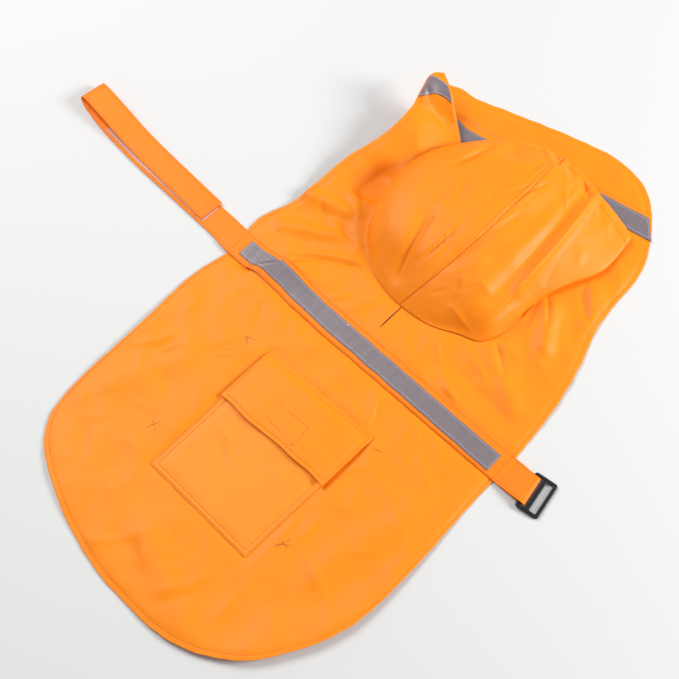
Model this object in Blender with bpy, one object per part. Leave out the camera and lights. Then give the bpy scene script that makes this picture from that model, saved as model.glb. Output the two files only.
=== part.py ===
"""Dog raincoat with a hood, laid flat on its chest side with its back up.

Metres, +Z up. The coat's length runs along +Y from the hem to the chest, and the buckle is on the +X side.
The tables give places in millimetres in the coat's own plan, where x = 0 is the middle of the pocket and
y = 0 its lower edge. frame_point() moves them to the part's frame, whose origin is under the middle of
the whole box. Bearings are degrees round the neck's centre, clockwise from the chest.
"""

from collections import namedtuple
from math import atan2, cos, degrees, exp, hypot, pi, radians, sin

import bmesh
import bpy
from mathutils import Matrix, Vector

MM = 0.001

# Cloth and trim thicknesses, and the gap left between pieces that lie on each other
CLOTH = 1.2 * MM
TAPE_THICK = 1.0 * MM
GAP = 0.3 * MM

# Middle of the whole box in the coat's plan
PLAN_MIDDLE = (-124.13, 290.42)

# Neck hole: half an ellipse behind its centre and a flatter one before it
NECK_CENTRE = (-15.0, 455.0)
NECK_HALF_WIDTH = 115.0
NECK_BACK_DEPTH = 97.0
NECK_FRONT_DEPTH = 55.0

# The left front: where it begins and ends round the neck, and how far its neck edge runs on past its hem.
# Its open edge bows out towards the middle of the chest.
FLAP_BEARING = 262.0
FLAP_HEM_END = 314.0
FLAP_OVERLAP = 29.0
FRONT_BOW = 12.0

# How far in from a raised edge the cape eases down; the hem's reach widens between two bearings
BACK_EASE = 42.0
FLAP_EASE = 70.0
EASE_WIDENS = (235.0, 275.0)
NECK_EASE = 26.0

# Steps across and along each piece's sheet
STEPS = {
    "cape_body": (138, 13),
    "hood_left": (12, 24),
    "hood_right": (14, 24),
    "pocket_patch": (12, 14),
    "pocket_flap": (24, 14),
    "belt_band": (36, 3),
    "belt_tape": (34, 2),
    "chest_tape_right": (26, 2),
    "chest_tape_left": (8, 6),
    "belly_strap": (74, 2),
    "strap_fastener": (24, 1),
    "buckle_strap": (34, 2),
}

HemPoint = namedtuple("HemPoint", "x y lift")
HEM = (
    HemPoint(-204, 640, 0),  # the right half's corner, under the left half
    HemPoint(-178, 650, 0),
    HemPoint(-156, 652, 0),
    HemPoint(-118, 665, 0),
    HemPoint(-20, 697, 0),
    HemPoint(50, 711, 0),
    HemPoint(105, 695, 0),
    HemPoint(150, 642, 0),
    HemPoint(170, 590, 0),
    HemPoint(178, 510, 0),
    HemPoint(207, 410, 2),
    HemPoint(219, 307, 0),
    HemPoint(220, 230, 0),
    HemPoint(226, 90, 5),
    HemPoint(214, 3, 8),
    HemPoint(165, -80, 8),
    HemPoint(95, -122, 3),
    HemPoint(10, -130, 0),
    HemPoint(-75, -120, 0),
    HemPoint(-150, -93, 2),
    HemPoint(-198, -62, 0),
    HemPoint(-220, -10, 0),
    HemPoint(-225, 110, 2),
    HemPoint(-230, 200, 0),
    HemPoint(-222, 262, 0),
    HemPoint(-229, 322, 0),
    HemPoint(-213, 375, 4),
    HemPoint(-209, 450, 14),
    HemPoint(-194, 505, 26),
    HemPoint(-190, 550, 38),
    HemPoint(-205, 611, 42),
    HemPoint(-196, 628, 41),  # the left half's corner
)

# How far the neck hole's edge is lifted, and pulled out past its ellipse, round the neck
NeckEdge = namedtuple("NeckEdge", "bearing lift out")
NECK_EDGE = (
    NeckEdge(-48, 0, 0),
    NeckEdge(20, 0, 0),
    NeckEdge(75, 5, 0),
    NeckEdge(100, 5, 4),
    NeckEdge(125, 4, 13),  # the hood's right corner pulls on it
    NeckEdge(143, 4, 3),
    NeckEdge(180, 3, 0),
    NeckEdge(230, 5, 0),
    NeckEdge(270, 8, 0),
    NeckEdge(340, 8, 0),
)
NECK_SEAM_OUT = 3.0  # the hood stands on the cape this far outside the hole

Fold = namedtuple("Fold", "x0 y0 x1 y1 width height")
CAPE_FOLDS = (
    Fold(122, 480, 152, 436, 12, 9),  # beside the hood on the right
    Fold(146, 535, 166, 500, 10, 5),
    Fold(112, 385, 175, 352, 13, 5),
    Fold(-200, 332, -140, 368, 9, 5),  # fan out from the neck on the left
    Fold(-205, 388, -155, 402, 9, 6),
    Fold(-20, -58, 80, -98, 17, 3),  # low waves of the back
    Fold(-190, 40, -150, 130, 20, 3),
    Fold(150, 40, 178, 170, 18, 3),
)
FLAP_FOLDS = (
    Fold(-158, 440, -148, 510, 26, -22),  # hollow between the hood and the raised left front
    Fold(-192, 602, -168, 612, 18, 10),  # the turned end, stiff along its tape
    Fold(-188, 570, -150, 588, 12, -5),  # crease below the tape
)

LeashSlit = namedtuple("LeashSlit", "x y0 y1 width reach")
SLIT = LeashSlit(-12.5, 313, 353, 2.6, 30)  # reach is the cutter's own height

# Hood: each row of a half crosses it from the crown seam down to its foot. A place given as one number
# stands on the cape at that bearing round the neck. The last rows are past the neck seam and lie free.
LeftRow = namedtuple("LeftRow", "crown mid side foot")
RightRow = namedtuple("RightRow", "crown mid ridge side foot")
HOOD_LEFT = (
    LeftRow(180, 186, 192, 196),
    LeftRow((-4, 397, 30), (-42, 386, 24), (-62, 376, 15), 208),
    LeftRow((2, 440, 47), (-68, 415, 40), (-103, 400, 20), 235),
    LeftRow((6, 484, 56), (-98, 450, 43), (-136, 436, 25), 258),
    LeftRow((5, 530, 57), (-114, 490, 44), (-151, 478, 27), 280),
    LeftRow((4, 573, 53), (-112, 534, 44), (-152, 510, 27), (-128, 503, 22)),
    LeftRow((0, 613, 45), (-98, 570, 40), (-141, 540, 28), (-122, 524, 26)),
    LeftRow((-3, 650, 26), (-66, 628, 27), (-121, 562, 28), (-110, 545, 26)),
)
HOOD_RIGHT = (
    RightRow(180, 173, 166, 159, 152),
    RightRow((-4, 397, 30), (22, 392, 27), (44, 386, 21), (62, 382, 11), 140),
    RightRow((2, 440, 47), (38, 430, 43), (68, 416, 32), (90, 402, 15), 125),
    RightRow((6, 484, 56), (44, 470, 50), (76, 454, 34), (96, 440, 15), 102),
    RightRow((5, 530, 57), (46, 515, 51), (78, 496, 37), (99, 476, 14), 84),
    RightRow((4, 573, 53), (45, 560, 48), (76, 543, 37), (114, 518, 13), (104, 514, 3.5)),
    RightRow((0, 613, 45), (42, 603, 41), (70, 590, 34), (132, 570, 11), (120, 563, 3.5)),
    RightRow((-3, 650, 26), (32, 648, 26), (62, 641, 25), (126, 629, 12), (126, 609, 4.5)),
)
HOOD_FOLDS = (
    Fold(36, 470, 36, 600, 18, -5),  # broad hollow between the crown and the right ridge
    Fold(-66, 455, -44, 392, 11, -7),  # behind the left rim
    Fold(82, 462, 64, 622, 8, 4),  # the right ridge
)
HOOD_SEAM_GAP = 0.2 * MM

# Pocket
PocketRow = namedtuple("PocketRow", "y left right")
PATCH_BOTTOM = PocketRow(0, -80, 80)
PATCH_MOUTH = PocketRow(186, -82, 82)
PATCH_PUFF = 2.6 * MM
FlapWave = namedtuple("FlapWave", "x seam_y edge_y lift")
FLAP_WAVES = (
    FlapWave(-84, 201, 117, 2.0),
    FlapWave(-45, 202, 116, 4.0),
    FlapWave(-5, 203, 119, 2.5),
    FlapWave(40, 205, 121, 6.5),
    FlapWave(84, 208, 121, 8.5),
)

# Belt band across the back, and its tape
BAND_LEFT = (-225.0, 276.5)
BAND_RIGHT = (219.5, 286.0)
BAND_WIDTH = 40.0
TAPE_WIDTH = 25.5
BELT_TAPE_LEFT = (-209.5, 277.7)
BELT_TAPE_RIGHT = (206.0, 282.8)

# Chest tapes
CHEST_TAPE_OUTER = (138.0, 657.0)
CHEST_TAPE_INNER = (-165.0, 594.0)
CHEST_TAPE_SLANT = 18.0  # how far its outer end slants, along the rounded hem
# The left one's two ends, on the hem and on the front edge: shares of the hem's length and from neck to hem
LEFT_TAPE_OUTER = ((0.9765, 0.985), (0.9935, 0.985))
LEFT_TAPE_FRONT = ((0.9985, 0.77), (0.9985, 0.965))
LEFT_TAPE_RISE = 1.3 * MM

# Long strap: its middle line from the band, out along the floor, round the fold and back
StrapPoint = namedtuple("StrapPoint", "x y z width turn")
BELLY_STRAP = (
    StrapPoint(-226.2, 276.5, 2.1, 40, 178),
    StrapPoint(-238, 277.5, 1.3, 39, 178),
    StrapPoint(-258, 279, 0.6, 37.5, 179),
    StrapPoint(-340, 279, 0.6, 35.5, 180),
    StrapPoint(-403, 279.5, 0.6, 35, 178),
    StrapPoint(-470, 284, 0.6, 35, 174),
    StrapPoint(-508, 290, 0.6, 35, 172),
    StrapPoint(-525, 294, 3.0, 35, 172),
    StrapPoint(-531.5, 297, 8.2, 35, 172),
    StrapPoint(-526, 298, 13.2, 35, 173),
    StrapPoint(-508, 297, 14.8, 35, 174),
    StrapPoint(-475, 295, 11.5, 35, 175),
    StrapPoint(-435, 292, 6.0, 35, 176),
    StrapPoint(-395, 290, 3.5, 35, 177),
    StrapPoint(-340, 287, 3.4, 35, 177),
    StrapPoint(-279, 283.5, 3.4, 35, 177),
)
# Hook-and-loop strip on the strap's lower layer
FASTENER_LINE = ((-470.0, 284.0), (-403.0, 279.5), (-340.0, 279.3), (-276.5, 279.2))
FASTENER_WIDTH = 27.0

# Slider buckle, in its own plan: the frame, its two slots and where it lies
BUCKLE_MIDDLE = (266.5, 288.0)
BUCKLE_TURN = 10.0
BUCKLE_TILT = 3.6
BUCKLE_LENGTH = 29.0
BUCKLE_WIDTH = 48.0
BUCKLE_THICK = 2.8
BUCKLE_CORNER = 4.0
BUCKLE_ROUNDING = 0.6
BUCKLE_RISE = 2.5
SLOT_WIDTH = 39.4
StrapSlot = namedtuple("StrapSlot", "name x0 x1")
BUCKLE_SLOTS = (StrapSlot("strap_slot_cut", -9.7, -4.0), StrapSlot("free_slot_cut", 3.0, 9.5))

BUCKLE_STRAP = (
    StrapPoint(220.1, 286, 2.1, 40, 0),
    StrapPoint(232, 286.2, 3.4, 39.5, 2),
    StrapPoint(244, 286.2, 5.2, 38.5, 6),
    StrapPoint(253, 286.4, 6.3, 38, 10),
    StrapPoint(256.8, 286.8, 6.1, 38, 10),
    StrapPoint(258.9, 287, 4.2, 38, 10),
    StrapPoint(258.4, 287, 1.7, 38, 10),
    StrapPoint(255.5, 286.5, 0.6, 38, 10),
    StrapPoint(250, 286.2, 0.6, 38, 9),
    StrapPoint(244, 285.8, 0.6, 38, 8),
    StrapPoint(232, 285.8, 0.6, 38.5, 4),
    StrapPoint(224, 286, 0.6, 38.5, 2),
)

ORANGE = (1.0, 0.33, 0.03, 1.0)
ORANGE_INSIDE = (0.86, 0.24, 0.03, 1.0)
REFLECTIVE_GREY = (0.30, 0.28, 0.30, 1.0)
FASTENER_PINK = (0.92, 0.62, 0.50, 1.0)
BUCKLE_BLACK = (0.012, 0.012, 0.014, 1.0)


def frame_point(x, y, z):
    """A place in the coat's plan, in millimetres with z in metres, as a point of the part's frame."""
    return Vector(((x - PLAN_MIDDLE[0]) * MM, (y - PLAN_MIDDLE[1]) * MM, z))


def between(rows, at):
    """The row at a place along a table, smooth through every row, as a list of numbers."""
    last = len(rows) - 1
    step = min(int(at), last - 1)
    t = at - step
    before, start = rows[max(step - 1, 0)], rows[step]
    end, after = rows[step + 1], rows[min(step + 2, last)]
    found = []
    for p0, p1, p2, p3 in zip(before, start, end, after):
        bend = (2 * p0 - 5 * p1 + 4 * p2 - p3) * t * t + (3 * p1 - p0 - 3 * p2 + p3) * t**3
        found.append(0.5 * (2 * p1 + (p2 - p0) * t + bend))
    return found


def evenly(rows, count, fine=24):
    """count + 1 rows at equal distances along the smooth line through a table's places."""
    samples = [between(rows, i / fine) for i in range(fine * (len(rows) - 1) + 1)]
    lengths = [0.0]
    for first, second in zip(samples, samples[1:]):
        side = [b - a for a, b in zip(first[:3], second[:3])]
        lengths.append(lengths[-1] + hypot(*side))
    found, step = [], 0
    for i in range(count + 1):
        wanted = lengths[-1] * i / count
        while step < len(lengths) - 2 and lengths[step + 1] < wanted:
            step += 1
        share = (wanted - lengths[step]) / (lengths[step + 1] - lengths[step])
        found.append([a + (b - a) * share for a, b in zip(samples[step], samples[step + 1])])
    return found


def soft_step(share):
    """0 below 0 and 1 above 1, with a smooth rise between."""
    share = min(max(share, 0.0), 1.0)
    return share * share * (3 - 2 * share)


def along(table, key, at, value):
    """A column of a table read between its rows, which are in the key column's order."""
    for low, high in zip(table, table[1:]):
        if at <= getattr(high, key):
            break
    share = soft_step((at - getattr(low, key)) / (getattr(high, key) - getattr(low, key)))
    return getattr(low, value) + (getattr(high, value) - getattr(low, value)) * share


def ease(distance, reach):
    """1 on an edge, falling softly to 0 past its reach."""
    return exp(-((distance / reach) ** 1.5))


def fold_height(x, y, folds):
    """How far a table of soft ridges and hollows lifts the cloth at a place, in millimetres."""
    lift = 0.0
    for fold in folds:
        run = (fold.x1 - fold.x0, fold.y1 - fold.y0)
        share = ((x - fold.x0) * run[0] + (y - fold.y0) * run[1]) / (run[0] ** 2 + run[1] ** 2)
        share = min(max(share, 0.0), 1.0)
        away = hypot(x - fold.x0 - share * run[0], y - fold.y0 - share * run[1])
        lift += fold.height * exp(-((away / fold.width) ** 2))
    return lift


def neck_place(bearing, outward=0.0):
    """A place on the neck hole's edge, or that many millimetres outside it."""
    turn = radians(bearing)
    outward += along(NECK_EDGE, "bearing", bearing, "out")
    depth = NECK_FRONT_DEPTH if cos(turn) > 0 else NECK_BACK_DEPTH
    x = NECK_CENTRE[0] + (NECK_HALF_WIDTH + outward) * sin(turn)
    return x, NECK_CENTRE[1] + (depth + outward) * cos(turn)


def flap_share(bearing):
    """0 on the back and 1 at the left front's hem end, with a smooth rise between."""
    return soft_step((bearing - FLAP_BEARING) / (FLAP_HEM_END - FLAP_BEARING))


def hem_rows():
    """The hem's even steps as (x, y, lift, neck bearing), from the hidden right front round to the left."""
    rows, before = [], 0.0
    for x, y, lift in evenly(HEM, STEPS["cape_body"][0]):
        bearing = degrees(atan2(x - NECK_CENTRE[0], y - NECK_CENTRE[1]))
        while bearing < before - 90:
            bearing += 360
        before = bearing
        rows.append((x, y, lift, bearing + FLAP_OVERLAP * flap_share(bearing)))
    return rows


def cape_place(row, share):
    """The underside of the cape's sheet, from the neck at share 0 to a hem row at share 1."""
    hem_x, hem_y, lift, bearing = row
    neck_x, neck_y = neck_place(bearing)
    run_x, run_y = hem_x - neck_x, hem_y - neck_y
    length = hypot(run_x, run_y)
    bow = FRONT_BOW * sin(pi * share) * flap_share(bearing) / length
    x = neck_x + run_x * share + run_y * bow
    y = neck_y + run_y * share - run_x * bow
    widened = soft_step((bearing - EASE_WIDENS[0]) / (EASE_WIDENS[1] - EASE_WIDENS[0]))
    reach = BACK_EASE + (FLAP_EASE - BACK_EASE) * widened
    height = max(lift, 0.0) * ease((1 - share) * length, reach)
    height += along(NECK_EDGE, "bearing", bearing, "lift") * ease(share * length, NECK_EASE)
    height += fold_height(x, y, FLAP_FOLDS if bearing > FLAP_BEARING else CAPE_FOLDS)
    return x, y, max(height, 0.0) * MM


def back_height(x, y):
    """The top of the cape's flat back and right front under a piece that lies on it."""
    return max(fold_height(x, y, CAPE_FOLDS), 0.0) * MM + CLOTH


def material(name, colour, roughness, metallic=0.0):
    made = bpy.data.materials.new(name)
    made.use_nodes = True
    shader = made.node_tree.nodes["Principled BSDF"]
    shader.inputs["Base Color"].default_value = colour
    shader.inputs["Roughness"].default_value = roughness
    shader.inputs["Metallic"].default_value = metallic
    return made


def add_object(name, made, finish):
    """An object of the scene from a bmesh, which is freed."""
    mesh = bpy.data.meshes.new(name)
    made.to_mesh(mesh)
    made.free()
    mesh.shade_smooth()
    mesh.materials.append(finish)
    part = bpy.data.objects.new(name, mesh)
    bpy.context.scene.collection.objects.link(part)
    return part


def sheet(name, place, wall, finish):
    """A wall with its underside at place(u, v), u and v from 0 to 1; below zero, its top is there instead."""
    made = bmesh.new()
    across, lengthwise = STEPS[name]
    bmesh.ops.create_grid(made, x_segments=across, y_segments=lengthwise, size=1.0)
    for vert in made.verts:
        vert.co = place((vert.co.x + 1) / 2, (vert.co.y + 1) / 2)
    part = add_object(name, made, finish)
    thicken = part.modifiers.new("Cloth", "SOLIDIFY")
    thicken.thickness = abs(wall)
    thicken.offset = 1.0 if wall > 0 else -1.0
    thicken.use_even_offset = True
    return part


def cut_box(part, name, size, middle, placed):
    """Cut a box, set in its own frame and then placed by a matrix, out of a part."""
    made = bmesh.new()
    bmesh.ops.create_cube(made, size=1.0)
    bmesh.ops.scale(made, vec=size, verts=made.verts)
    bmesh.ops.translate(made, vec=middle, verts=made.verts)
    cutter = add_object(name, made, part.data.materials[0])
    cutter.matrix_world = placed
    cutter.hide_render = True
    cutter.display_type = "WIRE"
    cut = part.modifiers.new(name, "BOOLEAN")
    cut.object = cutter
    cut.operation = "DIFFERENCE"
    cut.solver = "EXACT"


def strip_place(start, end, width, rise):
    """A place function for a straight strip laid on the back, rise above it."""
    run = Vector((end[0] - start[0], end[1] - start[1]))
    side = Vector((-run.y, run.x)).normalized() * width

    def place(u, v):
        x = start[0] + run.x * u + side.x * (v - 0.5)
        y = start[1] + run.y * u + side.y * (v - 0.5)
        return frame_point(x, y, back_height(x, y) + rise)

    return place


def strap_place(name, rows):
    """A place function for a strap's underside, along the middle line that a table gives."""
    steps = STEPS[name][0]
    middle = evenly(rows, steps)
    half_wall = CLOTH / MM / 2

    def place(u, v):
        step = round(u * steps)
        x, y, z, width, turn = middle[step]
        z = max(z, half_wall)
        x0, y0, z0 = middle[max(step - 1, 0)][:3]
        x1, y1, z1 = middle[min(step + 1, steps)][:3]
        heading = Vector((cos(radians(turn)), sin(radians(turn))))
        slope = Vector((Vector((x1 - x0, y1 - y0)).dot(heading), z1 - z0)).normalized()
        # The underside is half the wall from the middle line, on the side that faces down at the sewn end
        back = heading * slope.y * half_wall
        side = Vector((-heading.y, heading.x)) * (v - 0.5) * width
        return frame_point(x + side.x + back.x, y + side.y + back.y, (z - slope.x * half_wall) * MM)

    return place


def make_cape(finish):
    rows = hem_rows()

    def place(u, v):
        return frame_point(*cape_place(rows[round(u * (len(rows) - 1))], v))

    cape = sheet("cape_body", place, CLOTH, finish)
    size = Vector((SLIT.width, SLIT.y1 - SLIT.y0, SLIT.reach)) * MM
    middle = frame_point(SLIT.x, (SLIT.y0 + SLIT.y1) / 2, 0)
    cut_box(cape, "leash_slit_cut", size, middle, Matrix.Identity(4))


def neck_foot(bearing):
    """Where the hood's edge stands on the cape just outside the neck hole."""
    x, y = neck_place(bearing, NECK_SEAM_OUT)
    lift = along(NECK_EDGE, "bearing", bearing, "lift")
    return x, y, lift + (2 * CLOTH + GAP) / MM


def hood_surface(rows):
    """A function for half of the hood's outer surface: down from the crown, and along from the neck."""
    places = [[p if isinstance(p, tuple) else neck_foot(p) for p in row] for row in rows]
    columns = list(zip(*places))

    def surface(down, length):
        arch = [between(column, length * (len(places) - 1)) for column in columns]
        x, y, z = between(arch, down * (len(columns) - 1))
        return x, y, z + fold_height(x, y, HOOD_FOLDS) * min(3 * (1 - down), 1.0)

    return surface


def make_hood(finish):
    left_surface, right_surface = hood_surface(HOOD_LEFT), hood_surface(HOOD_RIGHT)

    def left(u, v):
        x, y, z = left_surface(1 - u, v)
        return frame_point(x, y, z * MM) - Vector((HOOD_SEAM_GAP * u, 0, 0))

    def right(u, v):
        x, y, z = right_surface(u, v)
        return frame_point(x, y, z * MM) + Vector((HOOD_SEAM_GAP * (1 - u), 0, 0))

    sheet("hood_left", left, -CLOTH, finish)
    sheet("hood_right", right, -CLOTH, finish)


def patch_rise(x, y):
    """The pocket patch's underside: stitched flat at its sides and bottom, slack at its mouth."""
    cross = min(max((x - PATCH_MOUTH.left) / (PATCH_MOUTH.right - PATCH_MOUTH.left), 0.0), 1.0)
    puff = PATCH_PUFF * sin(pi * cross) * soft_step(y / PATCH_MOUTH.y)
    return back_height(x, y) + GAP + puff


def make_pocket(finish):
    def patch(u, v):
        y = PATCH_BOTTOM.y + (PATCH_MOUTH.y - PATCH_BOTTOM.y) * v
        left = PATCH_BOTTOM.left + (PATCH_MOUTH.left - PATCH_BOTTOM.left) * v
        right = PATCH_BOTTOM.right + (PATCH_MOUTH.right - PATCH_BOTTOM.right) * v
        x = left + (right - left) * u
        return frame_point(x, y, patch_rise(x, y))

    def flap(u, v):
        x, seam_y, edge_y, lift = between(FLAP_WAVES, u * (len(FLAP_WAVES) - 1))
        y = edge_y + (seam_y - edge_y) * v
        fall = soft_step((seam_y - y) / (seam_y - PATCH_MOUTH.y))
        over = CLOTH + GAP + lift * MM * (1 - v) ** 0.7
        return frame_point(x, y, patch_rise(x, y) + fall * over)

    sheet("pocket_patch", patch, CLOTH, finish)
    sheet("pocket_flap", flap, CLOTH, finish)


def make_belt(cloth, tape):
    sheet("belt_band", strip_place(BAND_LEFT, BAND_RIGHT, BAND_WIDTH, GAP), CLOTH, cloth)
    rise = GAP + CLOTH + GAP
    sheet("belt_tape", strip_place(BELT_TAPE_LEFT, BELT_TAPE_RIGHT, TAPE_WIDTH, rise), TAPE_THICK, tape)


def make_chest_tapes(tape):
    straight = strip_place(CHEST_TAPE_INNER, CHEST_TAPE_OUTER, TAPE_WIDTH, GAP)

    def right(u, v):
        slant = (0.5 - v) * CHEST_TAPE_SLANT * MM * u
        return straight(u, v) + Vector((slant, 0, 0))

    sheet("chest_tape_right", right, TAPE_THICK, tape)
    rows = hem_rows()

    def left(u, v):
        outer, front = (Vector(a).lerp(Vector(b), v) for a, b in (LEFT_TAPE_OUTER, LEFT_TAPE_FRONT))
        hem, share = outer.lerp(front, u)
        x, y, z = cape_place(between(rows, hem * (len(rows) - 1)), share)
        return frame_point(x, y, z + CLOTH + LEFT_TAPE_RISE)

    sheet("chest_tape_left", left, TAPE_THICK, tape)


def make_straps(cloth, fastener):
    sheet("belly_strap", strap_place("belly_strap", BELLY_STRAP), CLOTH, cloth)
    sheet("buckle_strap", strap_place("buckle_strap", BUCKLE_STRAP), CLOTH, cloth)

    def strip(u, v):
        x, y = between(FASTENER_LINE, u * (len(FASTENER_LINE) - 1))
        return frame_point(x, y + (v - 0.5) * FASTENER_WIDTH, CLOTH + GAP)

    sheet("strap_fastener", strip, TAPE_THICK, fastener)


def buckle_matrix():
    turned = Matrix.Rotation(radians(BUCKLE_TURN), 4, "Z") @ Matrix.Rotation(radians(BUCKLE_TILT), 4, "Y")
    return Matrix.Translation(frame_point(*BUCKLE_MIDDLE, BUCKLE_RISE * MM)) @ turned


def make_buckle(finish):
    made = bmesh.new()
    bmesh.ops.create_cube(made, size=1.0)
    size = Vector((BUCKLE_LENGTH, BUCKLE_WIDTH, BUCKLE_THICK)) * MM
    bmesh.ops.scale(made, vec=size, verts=made.verts)
    upright = [e for e in made.edges if abs(e.verts[0].co.z - e.verts[1].co.z) > size.z / 2]
    bmesh.ops.bevel(
        made, geom=upright, offset=BUCKLE_CORNER * MM, segments=5, affect="EDGES", profile=0.5, material=-1
    )
    rims = [e for e in made.edges if abs(e.verts[0].co.z - e.verts[1].co.z) < size.z / 4]
    bmesh.ops.bevel(
        made, geom=rims, offset=BUCKLE_ROUNDING * MM, segments=2, affect="EDGES", profile=0.5, material=-1
    )
    buckle = add_object("slider_buckle", made, finish)
    buckle.matrix_world = buckle_matrix()
    for slot in BUCKLE_SLOTS:
        reach = Vector((slot.x1 - slot.x0, SLOT_WIDTH, 4 * BUCKLE_THICK)) * MM
        middle = Vector(((slot.x0 + slot.x1) / 2 * MM, 0, 0))
        cut_box(buckle, slot.name, reach, middle, buckle_matrix())


def main():
    for old in list(bpy.data.objects):
        bpy.data.objects.remove(old, do_unlink=True)
    orange = material("orange_cloth", ORANGE, 0.45)
    inside = material("orange_strap", ORANGE_INSIDE, 0.5)
    grey = material("reflective_tape", REFLECTIVE_GREY, 0.4)
    pink = material("hook_and_loop", FASTENER_PINK, 0.9)
    black = material("black_plastic", BUCKLE_BLACK, 0.35)
    make_cape(orange)
    make_hood(orange)
    make_pocket(orange)
    make_belt(inside, grey)
    make_chest_tapes(grey)
    make_straps(inside, pink)
    make_buckle(black)


main()
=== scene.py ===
"""Looks of a dog raincoat with a hood, laid flat with its back up.

Plan places are in millimetres: x = 0 is the middle of the pocket and y = 0 its lower edge. frame_point()
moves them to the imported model's frame, in metres. Bearings are degrees round the neck's centre, clockwise
from the chest. A sheet of cloth is placed by its top side, and its wall hangs below it.
"""

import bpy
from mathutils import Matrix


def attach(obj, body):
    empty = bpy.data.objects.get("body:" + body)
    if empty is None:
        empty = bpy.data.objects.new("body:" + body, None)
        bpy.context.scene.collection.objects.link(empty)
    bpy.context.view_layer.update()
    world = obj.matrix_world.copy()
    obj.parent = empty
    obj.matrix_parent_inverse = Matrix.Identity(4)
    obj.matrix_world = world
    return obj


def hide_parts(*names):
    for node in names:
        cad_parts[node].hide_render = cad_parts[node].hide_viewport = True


bl_info = {
    "name": "Dog Raincoat",
    "version": (1, 0, 0),
    "blender": (4, 5, 0),
    "location": "View3D > Sidebar > Raincoat",
    "description": "Builds a hooded dog raincoat laid flat, with its trim, seams and a small studio",
    "category": "Add Mesh",
}

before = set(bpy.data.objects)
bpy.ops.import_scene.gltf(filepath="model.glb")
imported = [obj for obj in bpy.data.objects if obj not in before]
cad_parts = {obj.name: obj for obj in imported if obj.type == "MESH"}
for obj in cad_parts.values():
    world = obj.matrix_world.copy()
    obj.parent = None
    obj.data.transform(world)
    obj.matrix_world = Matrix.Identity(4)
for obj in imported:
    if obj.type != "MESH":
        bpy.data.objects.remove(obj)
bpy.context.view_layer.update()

from collections import namedtuple
from math import atan2, ceil, cos, degrees, exp, hypot, log1p, pi, radians, sin
from random import Random

import bmesh
import bpy
from bpy.props import FloatProperty, FloatVectorProperty, PointerProperty
from bpy.types import Operator, Panel, PropertyGroup
from mathutils import Matrix, Vector, noise

MM = 0.001
UP = Vector((0, 0, 1))


def table(kind, rows):
    """A table whose rows hold their columns by name."""
    return tuple(kind(*row) for row in rows)


# ---- Sizes shared with the solids, in millimetres ----

CLOTH = 1.2
TAPE_THICK = 1.0
GAP = 0.3
PLAN_MIDDLE = (-124.13, 290.42)  # middle of the whole box in the coat's plan

NECK_CENTRE = (-15.0, 455.0)
NECK_HALF_WIDTH = 115.0
NECK_BACK_DEPTH = 97.0
NECK_FRONT_DEPTH = 55.0
NECK_SEAM_OUT = 3.0  # the hood stands on the cape this far outside the hole
NECK_EASE = 26.0

# The left front: where it begins and ends round the neck, and how far its neck edge runs on past its hem
FLAP_BEARING = 262.0
FLAP_HEM_END = 314.0
FLAP_OVERLAP = 29.0
FRONT_BOW = 12.0

# How far in from a raised edge the cape eases down; the hem's reach widens between two bearings
BACK_EASE = 42.0
FLAP_EASE = 70.0
EASE_WIDENS = (235.0, 275.0)

HemPoint = namedtuple("HemPoint", "x y lift")
HEM = table(HemPoint, (
    (-204, 640, 0),  # the right half's corner, under the left half
    (-178, 650, 0),
    (-156, 652, 0),
    (-118, 665, 0),
    (-20, 697, 0),
    (50, 711, 0),
    (105, 695, 0),
    (150, 642, 0),
    (170, 590, 0),
    (178, 510, 0),
    (207, 410, 2),
    (219, 307, 0),
    (220, 230, 0),
    (226, 90, 5),
    (214, 3, 8),
    (165, -80, 8),
    (95, -122, 3),
    (10, -130, 0),
    (-75, -120, 0),
    (-150, -93, 2),
    (-198, -62, 0),
    (-220, -10, 0),
    (-225, 110, 2),
    (-230, 200, 0),
    (-222, 262, 0),
    (-229, 322, 0),
    (-213, 375, 4),
    (-209, 450, 14),
    (-194, 505, 26),
    (-190, 550, 38),
    (-205, 611, 42),
    (-196, 628, 41),  # the left half's corner
))

# How far the neck hole's edge is lifted, and pulled out past its ellipse, round the neck
NeckEdge = namedtuple("NeckEdge", "bearing lift out")
NECK_EDGE = table(NeckEdge, (
    (-48, 0, 0),
    (20, 0, 0),
    (75, 5, 0),
    (100, 5, 4),
    (125, 4, 13),  # the hood's right corner pulls on it
    (143, 4, 3),
    (180, 3, 0),
    (230, 5, 0),
    (270, 8, 0),
    (340, 8, 0),
))

# Large soft folds. The solids have most of them too
Fold = namedtuple("Fold", "x0 y0 x1 y1 width height")
CAPE_FOLDS = table(Fold, (
    (122, 480, 150, 438, 13, 7),  # beside the hood on the right
    (146, 535, 164, 502, 13, 3.5),
    (112, 385, 175, 352, 15, 4),
    (-200, 332, -140, 368, 9, 5),  # fan out from the neck on the left
    (-205, 388, -155, 402, 9, 6),
    (-20, -58, 80, -98, 17, 3),  # low waves of the back
    (-190, 40, -150, 130, 20, 3),
    (150, 40, 178, 170, 18, 3),
))
FLAP_FOLDS = table(Fold, (
    (-156, 428, -155, 468, 18, -21),  # hollow between the hood and the raised left front
    (-192, 602, -168, 612, 18, 8),  # the turned end, stiff along its tape
    (-188, 570, -150, 588, 12, -5),  # crease below the tape
))
HOOD_FOLDS = table(Fold, (
    (34, 470, 34, 590, 17, -6),  # broad hollow between the crown and the right ridge
    (-64, 450, -40, 382, 12, -2.5),  # behind the left rim
    (82, 462, 64, 622, 8, 4),  # the right ridge
))

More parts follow.
